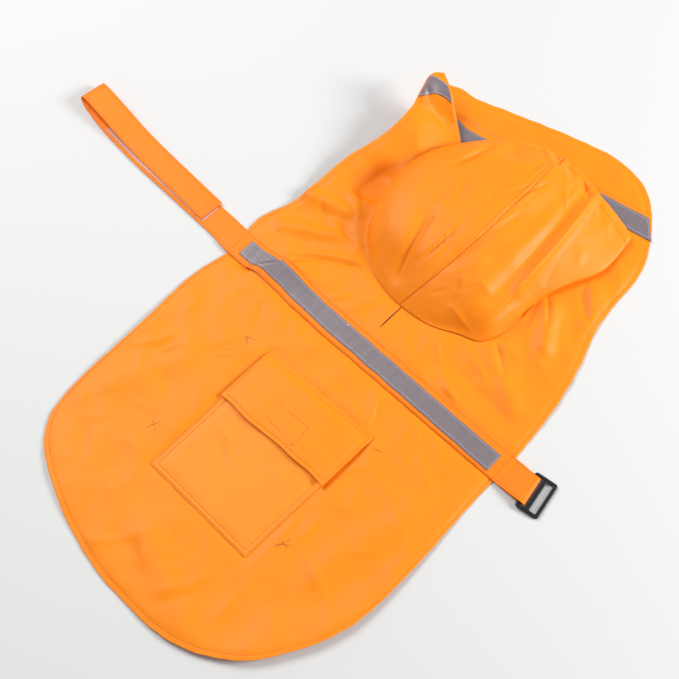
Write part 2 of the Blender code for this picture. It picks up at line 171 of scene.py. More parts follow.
# Hood: each row of a half crosses it from the crown seam down to its foot. A place given as one number
# stands on the cape at that bearing round the neck. The last rows are past the neck seam and lie free.
LeftRow = namedtuple("LeftRow", "crown mid side foot")
RightRow = namedtuple("RightRow", "crown mid ridge side foot")
HOOD_LEFT = table(LeftRow, (
    (180, 186, 192, 196),
    ((-4, 397, 30), (-42, 386, 24), (-62, 376, 15), 208),
    ((2, 440, 47), (-68, 415, 40), (-103, 400, 20), 235),
    ((6, 484, 56), (-94, 450, 42), (-128, 438, 25), 258),
    ((5, 530, 57), (-107, 488, 42), (-139, 477, 26), 280),
    ((4, 573, 53), (-107, 530, 42), (-139, 504, 26), (-118, 500, 21)),
    ((0, 613, 45), (-94, 567, 39), (-133, 534, 27), (-116, 519, 24)),
    ((-3, 650, 26), (-66, 626, 27), (-118, 561, 27), (-108, 544, 25)),
))
HOOD_RIGHT = table(RightRow, (
    (180, 173, 166, 159, 152),
    ((-4, 397, 30), (22, 392, 27), (44, 386, 21), (62, 382, 11), 140),
    ((2, 440, 47), (38, 430, 43), (68, 416, 32), (90, 402, 15), 125),
    ((6, 484, 56), (44, 470, 50), (76, 454, 34), (96, 440, 15), 102),
    ((5, 530, 57), (46, 515, 51), (78, 496, 37), (99, 476, 14), 84),
    ((4, 573, 53), (45, 560, 48), (76, 543, 37), (114, 518, 13), (104, 514, 3.5)),
    ((0, 613, 45), (42, 603, 41), (70, 590, 34), (132, 570, 11), (120, 563, 3.5)),
    ((-3, 650, 26), (32, 648, 26), (62, 641, 25), (126, 629, 12), (126, 609, 4.5)),
))
HOOD_SEAM_GAP = 0.1  # between each half and the crown's middle
HOOD_DEPTH = 190.0  # cut size of a half, from the crown to its foot and from the neck to the rim
HOOD_LENGTH = 300.0
HOOD_WALL = 0.9

# Pocket
PocketRow = namedtuple("PocketRow", "y left right")
PATCH_BOTTOM = PocketRow(0, -80, 80)
PATCH_MOUTH = PocketRow(186, -82, 82)
PATCH_PUFF = 2.6
FlapWave = namedtuple("FlapWave", "x seam_y edge_y lift")
FLAP_WAVES = table(FlapWave, (
    (-84, 201, 117, 1.0),
    (-64, 201, 117.5, 1.5),
    (-40, 202, 116, 2.2),
    (-14, 203, 118, 1.2),
    (10, 203, 120, 1.6),
    (36, 205, 120, 2.4),
    (62, 206, 122, 2.0),
    (84, 208, 120, 3.6),
))
FLAP_CURL = 0.7  # how early the flap's lift begins below its seam
FLAP_DEPTH = 84.0  # from its seam to its free edge
FLAP_BOX_ROWS = (17.0, 42.0)  # the stitched box's two long sides, up from the free edge
POCKET_WALL = 0.9
POCKET_ROWS_TOP = 112.0  # the pocket's rows of stitches end here, under the flap

# Belt band, reflective tapes
BAND_LEFT = (-225.0, 276.5)
BAND_RIGHT = (219.5, 286.0)
BAND_WIDTH = 40.0
TAPE_WIDTH = 25.5
BELT_TAPE_LEFT = (-209.5, 277.7)
BELT_TAPE_RIGHT = (206.0, 282.8)
CHEST_TAPE_OUTER = (138.0, 657.0)
CHEST_TAPE_INNER = (-165.0, 594.0)
CHEST_TAPE_SLANT = 18.0
# How far the right chest tape bends towards the hem: between which shares it goes out and comes back
CHEST_TAPE_BEND = (-7.5, 0.05, 0.125, 0.35, 0.74)
# The left chest tape's two ends: shares of the hem's length and from neck to hem
LEFT_TAPE_OUTER = ((0.9755, 0.985), (0.991, 0.985))
LEFT_TAPE_FRONT = ((0.9985, 0.77), (0.9985, 0.89))
LEFT_TAPE_LENGTH = 45.0
BAND_WALL = 1.0
TAPE_WALL = 0.5

# Straps: middle line, width, and the heading of the strap's length
StrapPoint = namedtuple("StrapPoint", "x y z width turn")
BELLY_STRAP = table(StrapPoint, (
    (-222, 276.5, 2.3, 40, 178),
    (-238, 277.5, 1.4, 39, 178),
    (-258, 279, 0.6, 37.5, 179),
    (-340, 279, 0.6, 35.5, 180),
    (-403, 279.5, 0.6, 35, 178),
    (-470, 284, 0.6, 35, 174),
    (-504, 289.5, 0.6, 35, 172),
    (-520, 293, 2.8, 35, 172),
    (-526.5, 296, 7.6, 35, 172),
    (-521, 296.5, 12.2, 35, 173),
    (-504, 295, 13.6, 35, 174),
    (-472, 292.5, 10.4, 35, 175),
    (-433, 289.5, 5.4, 35, 176),
    (-394, 287.5, 3.4, 35, 177),
    (-340, 285.5, 3.4, 35, 177),
    (-279, 283.5, 3.4, 35, 177),
))
BUCKLE_STRAP = table(StrapPoint, (
    (216.5, 286, 2.4, 40, 0),
    (224, 286, 2.5, 39.8, 1),
    (233, 286.2, 3.6, 39.5, 3),
    (244, 286.2, 5.2, 38.5, 6),
    (254, 286.4, 6.5, 38, 10),
    (258.2, 286.8, 6.3, 38, 10),
    (260.8, 287.2, 4.3, 38, 10),
    (260, 287.2, 1.7, 38, 10),
    (256.5, 286.6, 0.6, 38, 10),
    (250, 286.2, 0.6, 38, 9),
    (244, 285.8, 0.6, 38, 8),
    (232, 285.8, 0.6, 38.5, 4),
    (224, 286, 0.6, 38.5, 2),
))
STRAP_BARE = 56.0  # the long strap's single part, before its returned layer covers it
STRAP_END_ROWS = (4, 11)  # rows of stitches across the long strap's end, in from it
SHORT_STRAP_ROW = 9.0  # and across the short strap, out from the coat
FOLDED_SHARE = 0.55  # shares of the straps' lengths: the long one has turned back, the short one turns down
TURNED_SHARE = 0.42
FASTENER_LINE = ((-470.0, 284.0), (-403.0, 279.5), (-340.0, 279.3), (-276.5, 279.2))
FASTENER_WIDTH = 27.0
FASTENER_LENGTH = 194.0

# Slider buckle: its frame's lines across and along, where it lies, and its edges
BUCKLE_LINES_X = (-15.0, -9.7, -3.6, 2.8, 10.9, 16.1)
BUCKLE_LINES_Y = (-25.0, -20.4, 20.4, 25.0)
BUCKLE_SLOT_COLUMNS = (1, 3)
BUCKLE_THICK = 3.0
BUCKLE_CORNER = 4.2
BUCKLE_SLOT_CORNER = 1.2
BUCKLE_ROUNDING = 1.1
BUCKLE_MIDDLE = (266.5, 288.0, 2.5)
BUCKLE_TURN = 10.0
BUCKLE_TILT = 3.6

# ---- Creases. bow is how far the middle bows to the left of its run, and skew moves the
# gentle side of the crease to its right (up to 1) or left (down to -1). ----

Crease = namedtuple("Crease", "x0 y0 x1 y1 bow width height skew")

# A pleat folded into the coat under the belt band's left end. Right of its line the cloth stands up, more
# at the line's second end, and sinks back within the reach.
Pleat = namedtuple("Pleat", "x0 y0 x1 y1 height reach")
BELT_PLEAT = Pleat(-187, 262, -160, 299, 8.5, 34)
BELT_KINK = (3.5, -190, -166, -166, -60)  # how far up the belt wanders past its pleat, and where in x
CAPE_CREASES = table(Crease, (
    # back, left of the pocket
    (-112, 196, -150, 134, 3, 5, -1.7, 0),
    (-101, 187, -142, 138, 2, 5, 1.1, 0),
    (-116, 54, -160, 42, 2, 5, 1.3, 0),
    (-122, 62, -172, 92, -5, 9, -1.5, 0.3),
    (-176, -20, -136, -60, 2, 3.5, -1.3, 0),
    (-170, -12, -128, -50, 2, 5, 0.8, 0),
    (-186, -18, -158, -2, 3, 6, 0.9, 0),
    (-182, 142, -212, 84, 4, 6, 1.4, 0.3),
    (-168, 136, -196, 92, 3, 8, -1.3, 0),
    (-172, 66, -200, 100, 3, 6, 0.9, 0),
    (-118, 116, -86, 82, -2, 5, 0.9, 0.4),
    (-140, 240, -118, 198, 3, 5, -1.1, 0),
    (-160, 246, -178, 200, -6, 12, 1.6, 0),
    (-124, 254, -98, 228, 0, 5, 1.1, 0.3),
    (-94, 254, -76, 222, 2, 4, 1.2, -0.3),
    (-206, 200, -196, 150, 3, 7, 1.0, 0),
    (-214, 236, -186, 226, 3, 7, 0.9, 0),
    (-126, 12, -92, -10, 3, 8, 0.8, 0),
    (-206, 20, -190, -22, -3, 8, 1.0, 0),
    # above the pocket
    (-72, 234, -34, 232, 3, 5, 1.2, 0),
    (-60, 222, -6, 214, -2, 6, -0.8, 0),
    (-6, 240, 40, 226, 6, 6, 1.3, 0.3),
    (-20, 212, 78, 206, 6, 4.5, 1.5, 0),
    (46, 252, 70, 214, -2, 4, 1.3, -0.3),
    (58, 244, 78, 214, -2, 4, -1.1, 0),
    (106, 254, 130, 236, 0, 5, 1.0, 0),
    # back, right of the pocket
    (88, 172, 106, 204, 2, 4, -1.2, 0),
    (86, 152, 112, 188, 2, 5, 0.9, 0),
    (106, 100, 109, 54, 2, 5, 1.4, 0),
    (90, 92, 98, 50, 2, 4, -1.2, 0),
    (108, 54, 212, 16, 4, 5, 1.6, 0.3),
    (112, 44, 168, 22, 2, 6, -1.0, 0),
    (108, 152, 128, 118, 2, 5, 1.1, 0),
    (122, 172, 196, 142, 4, 10, 1.2, 0.2),
    (164, 92, 192, 110, 2, 5, 1.1, 0),
    (192, 76, 214, 98, 2, 6, -1.5, 0),
    (138, -20, 194, -40, -5, 11, 1.9, 0),
    (102, -40, 116, -78, 2, 6, 1.4, 0.3),
    (120, 236, 178, 196, 6, 12, 1.1, 0),
    (142, 226, 206, 232, -4, 9, -0.8, 0),
    (110, 14, 150, -6, 2, 6, 0.8, 0),
    (170, 204, 214, 180, 3, 8, 0.9, 0),
    # back, below the pocket
    (-66, -114, -24, -54, -6, 5, 1.8, 0.3),
    (-24, -54, 14, -88, -4, 5, 1.6, 0.3),
    (-52, -100, -14, -78, 4, 12, -1.6, 0),
    (12, -74, 34, -50, 2, 4, -1.3, 0),
    (30, -108, 68, -42, -5, 5, 1.7, -0.3),
    (44, -110, 70, -66, -3, 6, -1.0, 0),
    (4, 0, 34, -18, 2, 4, 0.9, 0),
    (-40, -24, 30, -34, 4, 9, 0.8, 0),
    (-112, -44, -66, -66, 3, 7, 1.0, 0),
    (-140, -76, -92, -92, 3, 6, 0.8, 0),
    # between the belt and the neck
    (-164, 304, -60, 367, 5, 3.2, -1.9, 0),
    (-168, 311, -64, 374, 5, 7, 2.4, -0.4),
    (-208, 346, -160, 352, 3, 7, 1.9, 0.3),
    (-198, 402, -158, 376, -6, 7, -2.2, 0),
    (-168, 378, -138, 380, 3, 5, 1.9, 0.4),
    (-150, 386, -108, 380, -3, 6, -2.4, 0),
    (-130, 372, -96, 384, 2, 5, 1.4, 0),
    (-190, 438, -132, 404, 3, 8, 2.6, 0.3),
    (-64, 326, -88, 298, 0, 4, 1.3, 0),
    (-74, 330, -96, 302, 0, 4, -0.8, 0),
    (-36, 342, -62, 304, 2, 4.5, 1.5, 0.3),
    (-28, 338, -48, 306, 2, 4, -0.9, 0),
    (-100, 352, -140, 318, 3, 6, 1.0, 0),
    (48, 358, 74, 332, -2, 5, 1.5, 0),
    (72, 334, 160, 300, -6, 6, 1.8, 0.3),
    (70, 346, 200, 334, -4, 9, -1.6, 0),
    (84, 368, 140, 350, 2, 6, 1.6, 0.3),
    (12, 340, 34, 310, 0, 5, 0.9, 0),
    (24, 346, 52, 316, 0, 5, -0.7, 0),
    # right side and chest
    (94, 405, 142, 374, 2, 5, -4.0, 0.3),
    (104, 410, 150, 396, 2, 8, 1.4, 0),
    (104, 494, 136, 456, 3, 4.5, -3.4, 0),
    (112, 462, 124, 430, 2, 5, 1.6, 0),
    (128, 540, 172, 498, -3, 6, -2.6, 0.3),
    (128, 420, 190, 404, 4, 9, 1.5, 0),
    (150, 470, 186, 440, 3, 9, 1.2, 0),
    (132, 596, 166, 560, 3, 9, 1.2, 0),
    (10, 684, 22, 672, 0, 5, -0.9, 0),
    (40, 680, 56, 668, 0, 5, -0.8, 0),
    (-60, 672, 10, 690, 4, 8, 0.9, 0),
    (-130, 640, -60, 664, 4, 9, 1.0, 0),
    (84, 688, 124, 664, 3, 8, 0.9, 0),
))
FLAP_CREASES = table(Crease, (
    (-204, 596, -160, 588, -3, 5, -3.0, 0.3),
    (-186, 560, -140, 572, 3, 8, 1.8, 0),
    (-170, 552, -146, 524, -2, 6, 1.6, 0),
    (-196, 520, -172, 470, 3, 8, 2.0, 0),
    (-200, 470, -178, 446, 2, 6, 1.4, 0),
    (-172, 632, -158, 604, 1, 5, 1.2, 0),
    (-184, 542, -160, 552, 2, 4, -1.4, 0),
))
# The hood's are placed in its plan as it is seen along the camera's slant, at this height
SightPlane = namedtuple("SightPlane", "height lean_x lean_y")
HOOD_SIGHT = SightPlane(40.0, -0.33, 0.51)
HOOD_CREASES = table(Crease, (
    (-30, 638, 2, 627, -3, 4, 1.8, 0),  # round the end of the crown seam
    (-16, 640, 0, 634, 0, 5, -2.6, 0),
    (1, 645, 1, 624, 0, 2.5, -3.0, 0),
    (6, 640, 30, 628, 0, 6, -2.4, 0),
    (14, 628, 32, 610, 0, 3.5, 1.6, 0),
    (34, 636, 64, 617, 2, 4, -3.4, 0.3),
    (36, 620, 41, 602, 0, 3, -1.6, 0),
    (28, 606, 52, 582, 2, 3, 1.3, 0),
    (34, 600, 54, 574, 2, 3, -1.0, 0),
    (-4, 582, -18, 548, 1, 3, -2.8, 0),  # pulls beside the seam
    (14, 602, -3, 564, -1, 3.5, -2.2, 0),
    (6, 590, 2, 540, 0, 4, 1.4, 0),
    (-17, 590, -13, 622, 0, 2.5, -1.6, 0),
    (-12, 592, -8, 620, 0, 2.5, 1.0, 0),
    (-76, 594, -98, 526, 4, 3.6, -4.6, 0.2),  # front left
    (-84, 586, -106, 524, 4, 6, 2.2, 0),
    (-80, 540, -55, 490, -2, 3.2, 1.8, 0),
    (-74, 545, -49, 494, -2, 4, -1.6, 0),
    (-74, 500, -72, 474, 0, 2.5, -1.8, 0),
    (-68, 498, -64, 470, 0, 3, 0.8, 0),
    (-58, 618, -50, 588, 2, 14, -3.0, 0),
    (-42, 566, -36, 540, 0, 3, -1.0, 0),
    (-29, 566, -28, 512, 1, 3, -1.2, 0),
    (-32, 492, -33, 402, 1, 2.6, 2.2, 0),  # the long pair left of the seam
    (-27, 492, -28, 394, 1, 2.8, -3.2, 0),
    (-19, 452, -11, 416, 0, 3, -2.0, 0),
    (-64, 476, -26, 356, -5, 6, -4.2, 0.3),  # the deep one down to the neck
    (-84, 470, -50, 362, -5, 10, 0.6, 0),
    (-94, 424, -84, 384, 0, 3.5, 0.9, 0),
    (0, 418, 15, 548, 3, 7, -3.5, 0.6),  # right of the seam
    (8, 410, 54, 522, 5, 8, 1.6, 0.3),
    (26, 420, 29, 400, 0, 3, -0.8, 0),
    (13, 376, 22, 398, 0, 4, -0.8, 0),
    (36, 400, 40, 380, 0, 3.5, -0.7, 0),
    (22, 428, 33, 408, 0, 4, 1.1, 0),
    (38, 432, 66, 428, 2, 6, 1.2, 0),
    (40, 384, 86, 372, -2, 6, 1.4, 0),
    (46, 640, 66, 406, 4, 12, -5.6, -0.1),  # the long slope and the crisp line of the right ridge
    (66, 644, 88, 390, 4, 5, 5.6, 0.5),
    (116, 486, 106, 386, 2, 4, -2.8, 0.4),  # tuck under the ridge's foot
    (104, 480, 92, 384, 2, 6, 1.0, 0),
    (72, 622, 90, 600, 0, 3, 1.5, 0),  # gathers by the right rim
    (76, 624, 94, 602, 0, 3, -1.5, 0),
    (96, 612, 120, 590, 1, 4, 1.0, 0),
    (104, 560, 118, 530, 0, 7, 1.3, 0),
    (94, 520, 104, 480, 0, 6, -1.2, 0),
))
PATCH_CREASES = table(Crease, (
    (-68, 88, -12, 62, 10, 4, 1.5, 0),
    (-60, 72, -10, 50, 8, 5, -1.3, 0),
    (-40, 80, -12, 70, 4, 6, -0.9, 0),
    (-66, 46, -50, 38, 1, 5, -0.8, 0),
    (34, 44, 50, 30, 1, 6, -0.6, 0),
    (20, 96, 62, 84, 4, 9, 0.9, 0),
    (-72, 24, -40, 14, 2, 6, 0.6, 0),
))
FLAP_TOP_CREASES = table(Crease, (
    (-76, 148, -52, 140, 2, 6, 0.8, 0),
    (-40, 186, 34, 182, 4, 8, 0.7, 0),
    (42, 150, 72, 132, 3, 8, 0.9, 0),
    (30, 176, 74, 186, -3, 7, -0.7, 0),
))

# ---- Sewing: lines in each piece's own plan ----

HEM_TURN = 8.0  # width of the turned hem
HEM_SEAM = 6.4
DOUBLE_SEAM = (1.6, 6.2)  # the pocket's two rows, in from its edge
FLAP_SEAM = 5.5
TAPE_SEAM = 2.7
BAND_SEAM = 1.8
STRAP_SEAM = 2.6
CROWN_SEAM = (1.2, 5.2)
CASING_WIDTH = 13.0
Spot = namedtuple("Spot", "x y")
FASTENER_BOX = (Spot(-28, 158), Spot(22, 160), Spot(25, 133), Spot(-28, 135))
# Short rows of thread where the leg loops are tacked on inside, and the tack on the flap
Tack = namedtuple("Tack", "x0 y0 x1 y1")
LEG_LOOP_TACKS = table(Tack, (
    (-119, 193, -113, 187),
    (-113, 187, -105, 201),
    (-119, 193, -107, 197),
    (-118, 26, -111, 43),
    (-120, 38, -106, 32),
    (96, 32, 102, 51),
    (91, 43, 107, 42),
    (94, 35, 106, 46),
    (92, 196, 104, 202),
))
FLAP_TACKS = (Tack(17, 128, 26, 133), Tack(19, 135, 26, 126))
THREAD_KNOT = Spot(-42, 290.5)
LeashSlit = namedtuple("LeashSlit", "x y0 y1 half_gap")
SLIT = LeashSlit(-11.5, 310, 357, 0.8)


def frame_point(x, y, z):
    """A place in the coat's plan, in millimetres, as a point of the frame in metres."""
    return Vector((x - PLAN_MIDDLE[0], y - PLAN_MIDDLE[1], z)) * MM


def between(rows, at):
    """The row at a place along a table, smooth through every row, as a list of numbers."""
    last = len(rows) - 1
    step = min(int(at), last - 1)
    t = at - step
    before, start = rows[max(step - 1, 0)], rows[step]
    end, after = rows[step + 1], rows[min(step + 2, last)]
    found = []
    for p0, p1, p2, p3 in zip(before, start, end, after):
        bend = (2 * p0 - 5 * p1 + 4 * p2 - p3) * t * t + (3 * p1 - p0 - 3 * p2 + p3) * t**3
        found.append(0.5 * (2 * p1 + (p2 - p0) * t + bend))
    return found


def even_places(lengths, count):
    """count + 1 equal steps along a line, each as the part of the line that it is on and its share of it.

    lengths holds how far along the line each of its points is.
    """
    part = 0
    for i in range(count + 1):
        wanted = lengths[-1] * i / count
        while part < len(lengths) - 2 and lengths[part + 1] < wanted:
            part += 1
        yield part, (wanted - lengths[part]) / max(lengths[part + 1] - lengths[part], 1e-9)


SAMPLES = 24  # places looked at between two rows of a table, to find the length of its line


def evenly(rows, count):
    """count + 1 rows at equal distances along the smooth line through a table's places, and its length."""
    samples = [between(rows, i / SAMPLES) for i in range(SAMPLES * (len(rows) - 1) + 1)]
    lengths = [0.0]
    for first, second in zip(samples, samples[1:]):
        lengths.append(lengths[-1] + hypot(*(b - a for a, b in zip(first[:3], second[:3]))))
    found = []
    for part, share in even_places(lengths, count):
        found.append([a + (b - a) * share for a, b in zip(samples[part], samples[part + 1])])
    return found, lengths[-1]


def soft_step(share):
    """0 below 0 and 1 above 1, with a smooth rise between."""
    share = min(max(share, 0.0), 1.0)
    return share * share * (3 - 2 * share)


def soft_floor(height, blend=0.15):
    """The height, kept above zero with a soft bend instead of a sharp one."""
    return height if height > 30 * blend else blend * log1p(exp(height / blend))


def along(table, key, at, value):
    """A column of a table read between its rows, which are in the key column's order."""
    for low, high in zip(table, table[1:]):
        if at <= getattr(high, key):
            break
    share = soft_step((at - getattr(low, key)) / (getattr(high, key) - getattr(low, key)))
    return getattr(low, value) + (getattr(high, value) - getattr(low, value)) * share


def ease(distance, reach):
    """1 on an edge, falling softly to 0 past its reach."""
    return exp(-((distance / reach) ** 1.5))


def fold_height(x, y, folds):
    """How far a table of large soft folds lifts the cloth at a place."""
    lift = 0.0
    for fold in folds:
        run = (fold.x1 - fold.x0, fold.y1 - fold.y0)
        share = ((x - fold.x0) * run[0] + (y - fold.y0) * run[1]) / (run[0] ** 2 + run[1] ** 2)
        share = min(max(share, 0.0), 1.0)
        away = hypot(x - fold.x0 - share * run[0], y - fold.y0 - share * run[1])
        lift += fold.height * exp(-((away / fold.width) ** 2))
    return lift


def crease_height(x, y, creases):
    """How far a table of creases lifts the cloth at a place. Each tapers to nothing at both its ends."""
    lift = 0.0
    for x0, y0, x1, y1, bow, width, height, skew in creases:
        run_x, run_y = x1 - x0, y1 - y0
        length = hypot(run_x, run_y)
        share = ((x - x0) * run_x + (y - y0) * run_y) / length**2
        if not 0 < share < 1:
            continue
        away = ((x - x0) * run_y - (y - y0) * run_x) / length + 4 * bow * share * (1 - share)
        if abs(away) > 5 * width:
            continue
        reach = width * (1 + skew if away > 0 else 1 - skew)
        lift += height * sin(pi * share) ** 0.8 / (1 + (away / reach) ** 2) ** 2
    return lift


def crumple(x, y, seed):
    """Small crisp wrinkles of coated cloth all over a sheet, from -1 to 1."""
    coarse = noise.noise(Vector((x / 52, y / 60, seed)))
    fine = noise.noise(Vector((x / 21 + 9, y / 24, seed + 3)))
    return (0.5 - 2.2 * abs(coarse)) * 0.75 + (0.4 - 1.8 * abs(fine)) * 0.3


def groove(distance, depth=0.35, width=0.75):
    """The small valley that a row of stitches pulls into the cloth."""
    return -depth * exp(-((distance / width) ** 2))


def pucker(along_seam, seed):
    """Uneven small waves along a seam, from -1 to 1."""
    return noise.noise(Vector((along_seam / 7.5, seed, 0))) + noise.noise(Vector((along_seam / 23, seed, 5)))


def stations(length, spacing, seams=()):
    """Places from 0 to length, close together at both edges and round each seam."""
    fine = [0.0, 0.6, 1.3, 2.4, length - 2.4, length - 1.3, length - 0.6, length]
    fine += [seam + offset for seam in seams for offset in (-1.6, -0.9, -0.4, 0.0, 0.4, 0.9, 1.6)]
    count = max(ceil(length / spacing), 1)
    found = []
    for place in sorted(fine) + [length * i / count for i in range(count + 1)]:
        if 0 <= place <= length and all(abs(place - other) > 0.24 for other in found):
            found.append(place)
    return [place / length for place in sorted(found)]


def from_edge(distance, depth=0.45, reach=0.7):
    """How far a sheet's rounded edge drops at a distance in from it."""
    return -depth * exp(-distance / reach)


# ---- Surfaces: the top side of each piece ----

Strip = namedtuple("Strip", "x0 y0 x1 y1 half")
FLAT_UNDER_BELT = Strip(*BAND_LEFT, *BAND_RIGHT, BAND_WIDTH / 2)
FLAT_UNDER_TAPE = Strip(*CHEST_TAPE_INNER, *CHEST_TAPE_OUTER, TAPE_WIDTH / 2)
FLAT_MARGIN = 9.0
LOFT = 1.8  # how far the slack cloth stands up between its seams
CRUMPLE_HEIGHT = 1.6
CREASE_DEPTH = 1.25  # the back's and the hood's creases stand this much taller than their tables say
HEM_UNEVEN = 1.1  # how far the hem wanders from its line
TRIM_UNEVEN = 0.8  # how far the belt and the tapes wander from theirs
TRIM_LIFT = 0.35  # how far they stand off the cape on the average
THREAD_LIFT = 0.1  # stitches lie this far above the cloth
SEAM_THREAD_LIFT = 0.08  # and those of the hem, the pocket and the straps
CROWN_PULL = 5.0  # how deep the tight crown seam pulls in between the hood's two halves
CROWN_PULL_REACH = (8.0, 19.0)  # on its left and on its right


def off_line(x, y, line):
    """A place's share of the way along a line, and how far it lies to the line's right."""
    run_x, run_y = line.x1 - line.x0, line.y1 - line.y0
    length = hypot(run_x, run_y)
    share = ((x - line.x0) * run_x + (y - line.y0) * run_y) / length**2
    return share, ((x - line.x0) * run_y - (y - line.y0) * run_x) / length


def sewn_down(x, y):
    """0 where a trim or the pocket holds the back flat, and 1 where the cloth is free to crease."""
    free = 1.0
    for strip in (FLAT_UNDER_BELT, FLAT_UNDER_TAPE):
        free *= soft_step((abs(off_line(x, y, strip)[1]) - strip.half) / FLAT_MARGIN)
    beside = max(PATCH_MOUTH.left - x, x - PATCH_MOUTH.right, 0)
    above = max(PATCH_BOTTOM.y - y, y - FLAP_WAVES[2].seam_y, 0)
    return free * soft_step(hypot(beside, above) / FLAT_MARGIN)


def pleat_height(x, y, blunt):
    """How far the belt's pleat lifts the cloth. Its step is as wide as blunt says, in millimetres."""
    share, away = off_line(x, y, BELT_PLEAT)
    if away < 0 or away > 3 * BELT_PLEAT.reach:
        return 0.0
    rising = soft_step((share + 0.6) / 1.2) * soft_step((2.0 - share) / 0.9)
    return BELT_PLEAT.height * rising * soft_step(away / blunt) * ease(away, BELT_PLEAT.reach)


def loose_height(x, y, blunt=9.0):
    """The slack, creases and crumples of the back and the right front."""
    free = sewn_down(x, y)
    height = pleat_height(x, y, blunt)
    if free > 0:
        creases = CREASE_DEPTH * crease_height(x, y, CAPE_CREASES)
        height += free * (LOFT + creases + CRUMPLE_HEIGHT * crumple(x, y, 1))
    return height


def back_top(x, y):
    """The top of the cape's back and right front under a piece that lies on it."""
    return soft_floor(fold_height(x, y, CAPE_FOLDS) + loose_height(x, y, 2.0)) + CLOTH


def neck_place(bearing, outward=0.0):
    """A place on the neck hole's edge, or that many millimetres outside it."""
    turn = radians(bearing)
    outward += along(NECK_EDGE, "bearing", bearing, "out")
    depth = NECK_FRONT_DEPTH if cos(turn) > 0 else NECK_BACK_DEPTH
    x = NECK_CENTRE[0] + (NECK_HALF_WIDTH + outward) * sin(turn)
    return x, NECK_CENTRE[1] + (depth + outward) * cos(turn)


def flap_share(bearing):
    """0 on the back and 1 at the left front's hem end, with a smooth rise between."""
    return soft_step((bearing - FLAP_BEARING) / (FLAP_HEM_END - FLAP_BEARING))


HemRow = namedtuple("HemRow", "x y lift bearing run")


def hem_rows(count):
    """The hem's even steps, from the hidden right front round to the left. run is its length so far."""
    rows, before = [], 0.0
    places, length = evenly(HEM, count)
    for step, (x, y, lift) in enumerate(places):
        bearing = degrees(atan2(x - NECK_CENTRE[0], y - NECK_CENTRE[1]))
        while bearing < before - 90:
            bearing += 360
        before = bearing
        rows.append(HemRow(x, y, lift, bearing + FLAP_OVERLAP * flap_share(bearing), length * step / count))
    return rows


def cape_top(row, share):
    """The top of the cape's sheet, from the neck at share 0 to a hem row at share 1."""
    hem_x, hem_y, lift, bearing, run = row
    neck_x, neck_y = neck_place(bearing)
    run_x, run_y = hem_x - neck_x, hem_y - neck_y
    length = hypot(run_x, run_y)
    uneven = HEM_UNEVEN * pucker(run / 2.2, 31) * share**3 / length
    run_x, run_y = run_x * (1 + uneven), run_y * (1 + uneven)
    bow = FRONT_BOW * sin(pi * share) * flap_share(bearing) / length
    x = neck_x + run_x * share + run_y * bow
    y = neck_y + run_y * share - run_x * bow
    widened = soft_step((bearing - EASE_WIDENS[0]) / (EASE_WIDENS[1] - EASE_WIDENS[0]))
    reach = BACK_EASE + (FLAP_EASE - BACK_EASE) * widened
    from_hem, from_neck = (1 - share) * length, share * length
    height = max(lift, 0.0) * ease(from_hem, reach)
    height += along(NECK_EDGE, "bearing", bearing, "lift") * ease(from_neck, NECK_EASE)
    free = soft_step(from_hem / 16) * soft_step((from_neck - 5) / 14)
    on_flap = soft_step((bearing - FLAP_BEARING + 6) / 12)
    if on_flap < 1:
        back = fold_height(x, y, CAPE_FOLDS) + loose_height(x, y) * free
        height += back * (1 - on_flap)
    if on_flap > 0:
        flap = crease_height(x, y, FLAP_CREASES) + CRUMPLE_HEIGHT * crumple(x, y, 2)
        height += (fold_height(x, y, FLAP_FOLDS) + flap * free) * on_flap
    hem_free = sewn_down(x, y) if on_flap < 0.5 else 1.0
    turned = 0.12 * soft_step((HEM_TURN - from_hem) / 1.5) + groove(from_hem - HEM_SEAM, 0.3, 0.8)
    turned += 0.25 * pucker(run, 3) * exp(-(((from_hem - HEM_SEAM) / 6) ** 2))
    blend = 0.15 + 2.6 * on_flap
    edges = from_edge(from_hem, 0.35, 0.5) + from_edge(from_neck)
    return x, y, soft_floor(height, blend) + CLOTH + turned * hem_free + edges


def neck_foot(bearing):
    """Where the hood's edge stands on the cape just outside the neck hole."""
    x, y = neck_place(bearing, NECK_SEAM_OUT)
    return x, y, along(NECK_EDGE, "bearing", bearing, "lift") + 2 * CLOTH + GAP


def hood_form(rows):
    """A function for the plain form of half of the hood: down from the crown, and along from the neck."""
    places = [[p if isinstance(p, tuple) else neck_foot(p) for p in row] for row in rows]
    columns = list(zip(*places))

    def form(down, length):
        arch = [between(column, length * (len(places) - 1)) for column in columns]
        x, y, z = between(arch, down * (len(columns) - 1))
        return x, y, z + fold_height(x, y, HOOD_FOLDS) * min(3 * (1 - down), 1.0)

    return form


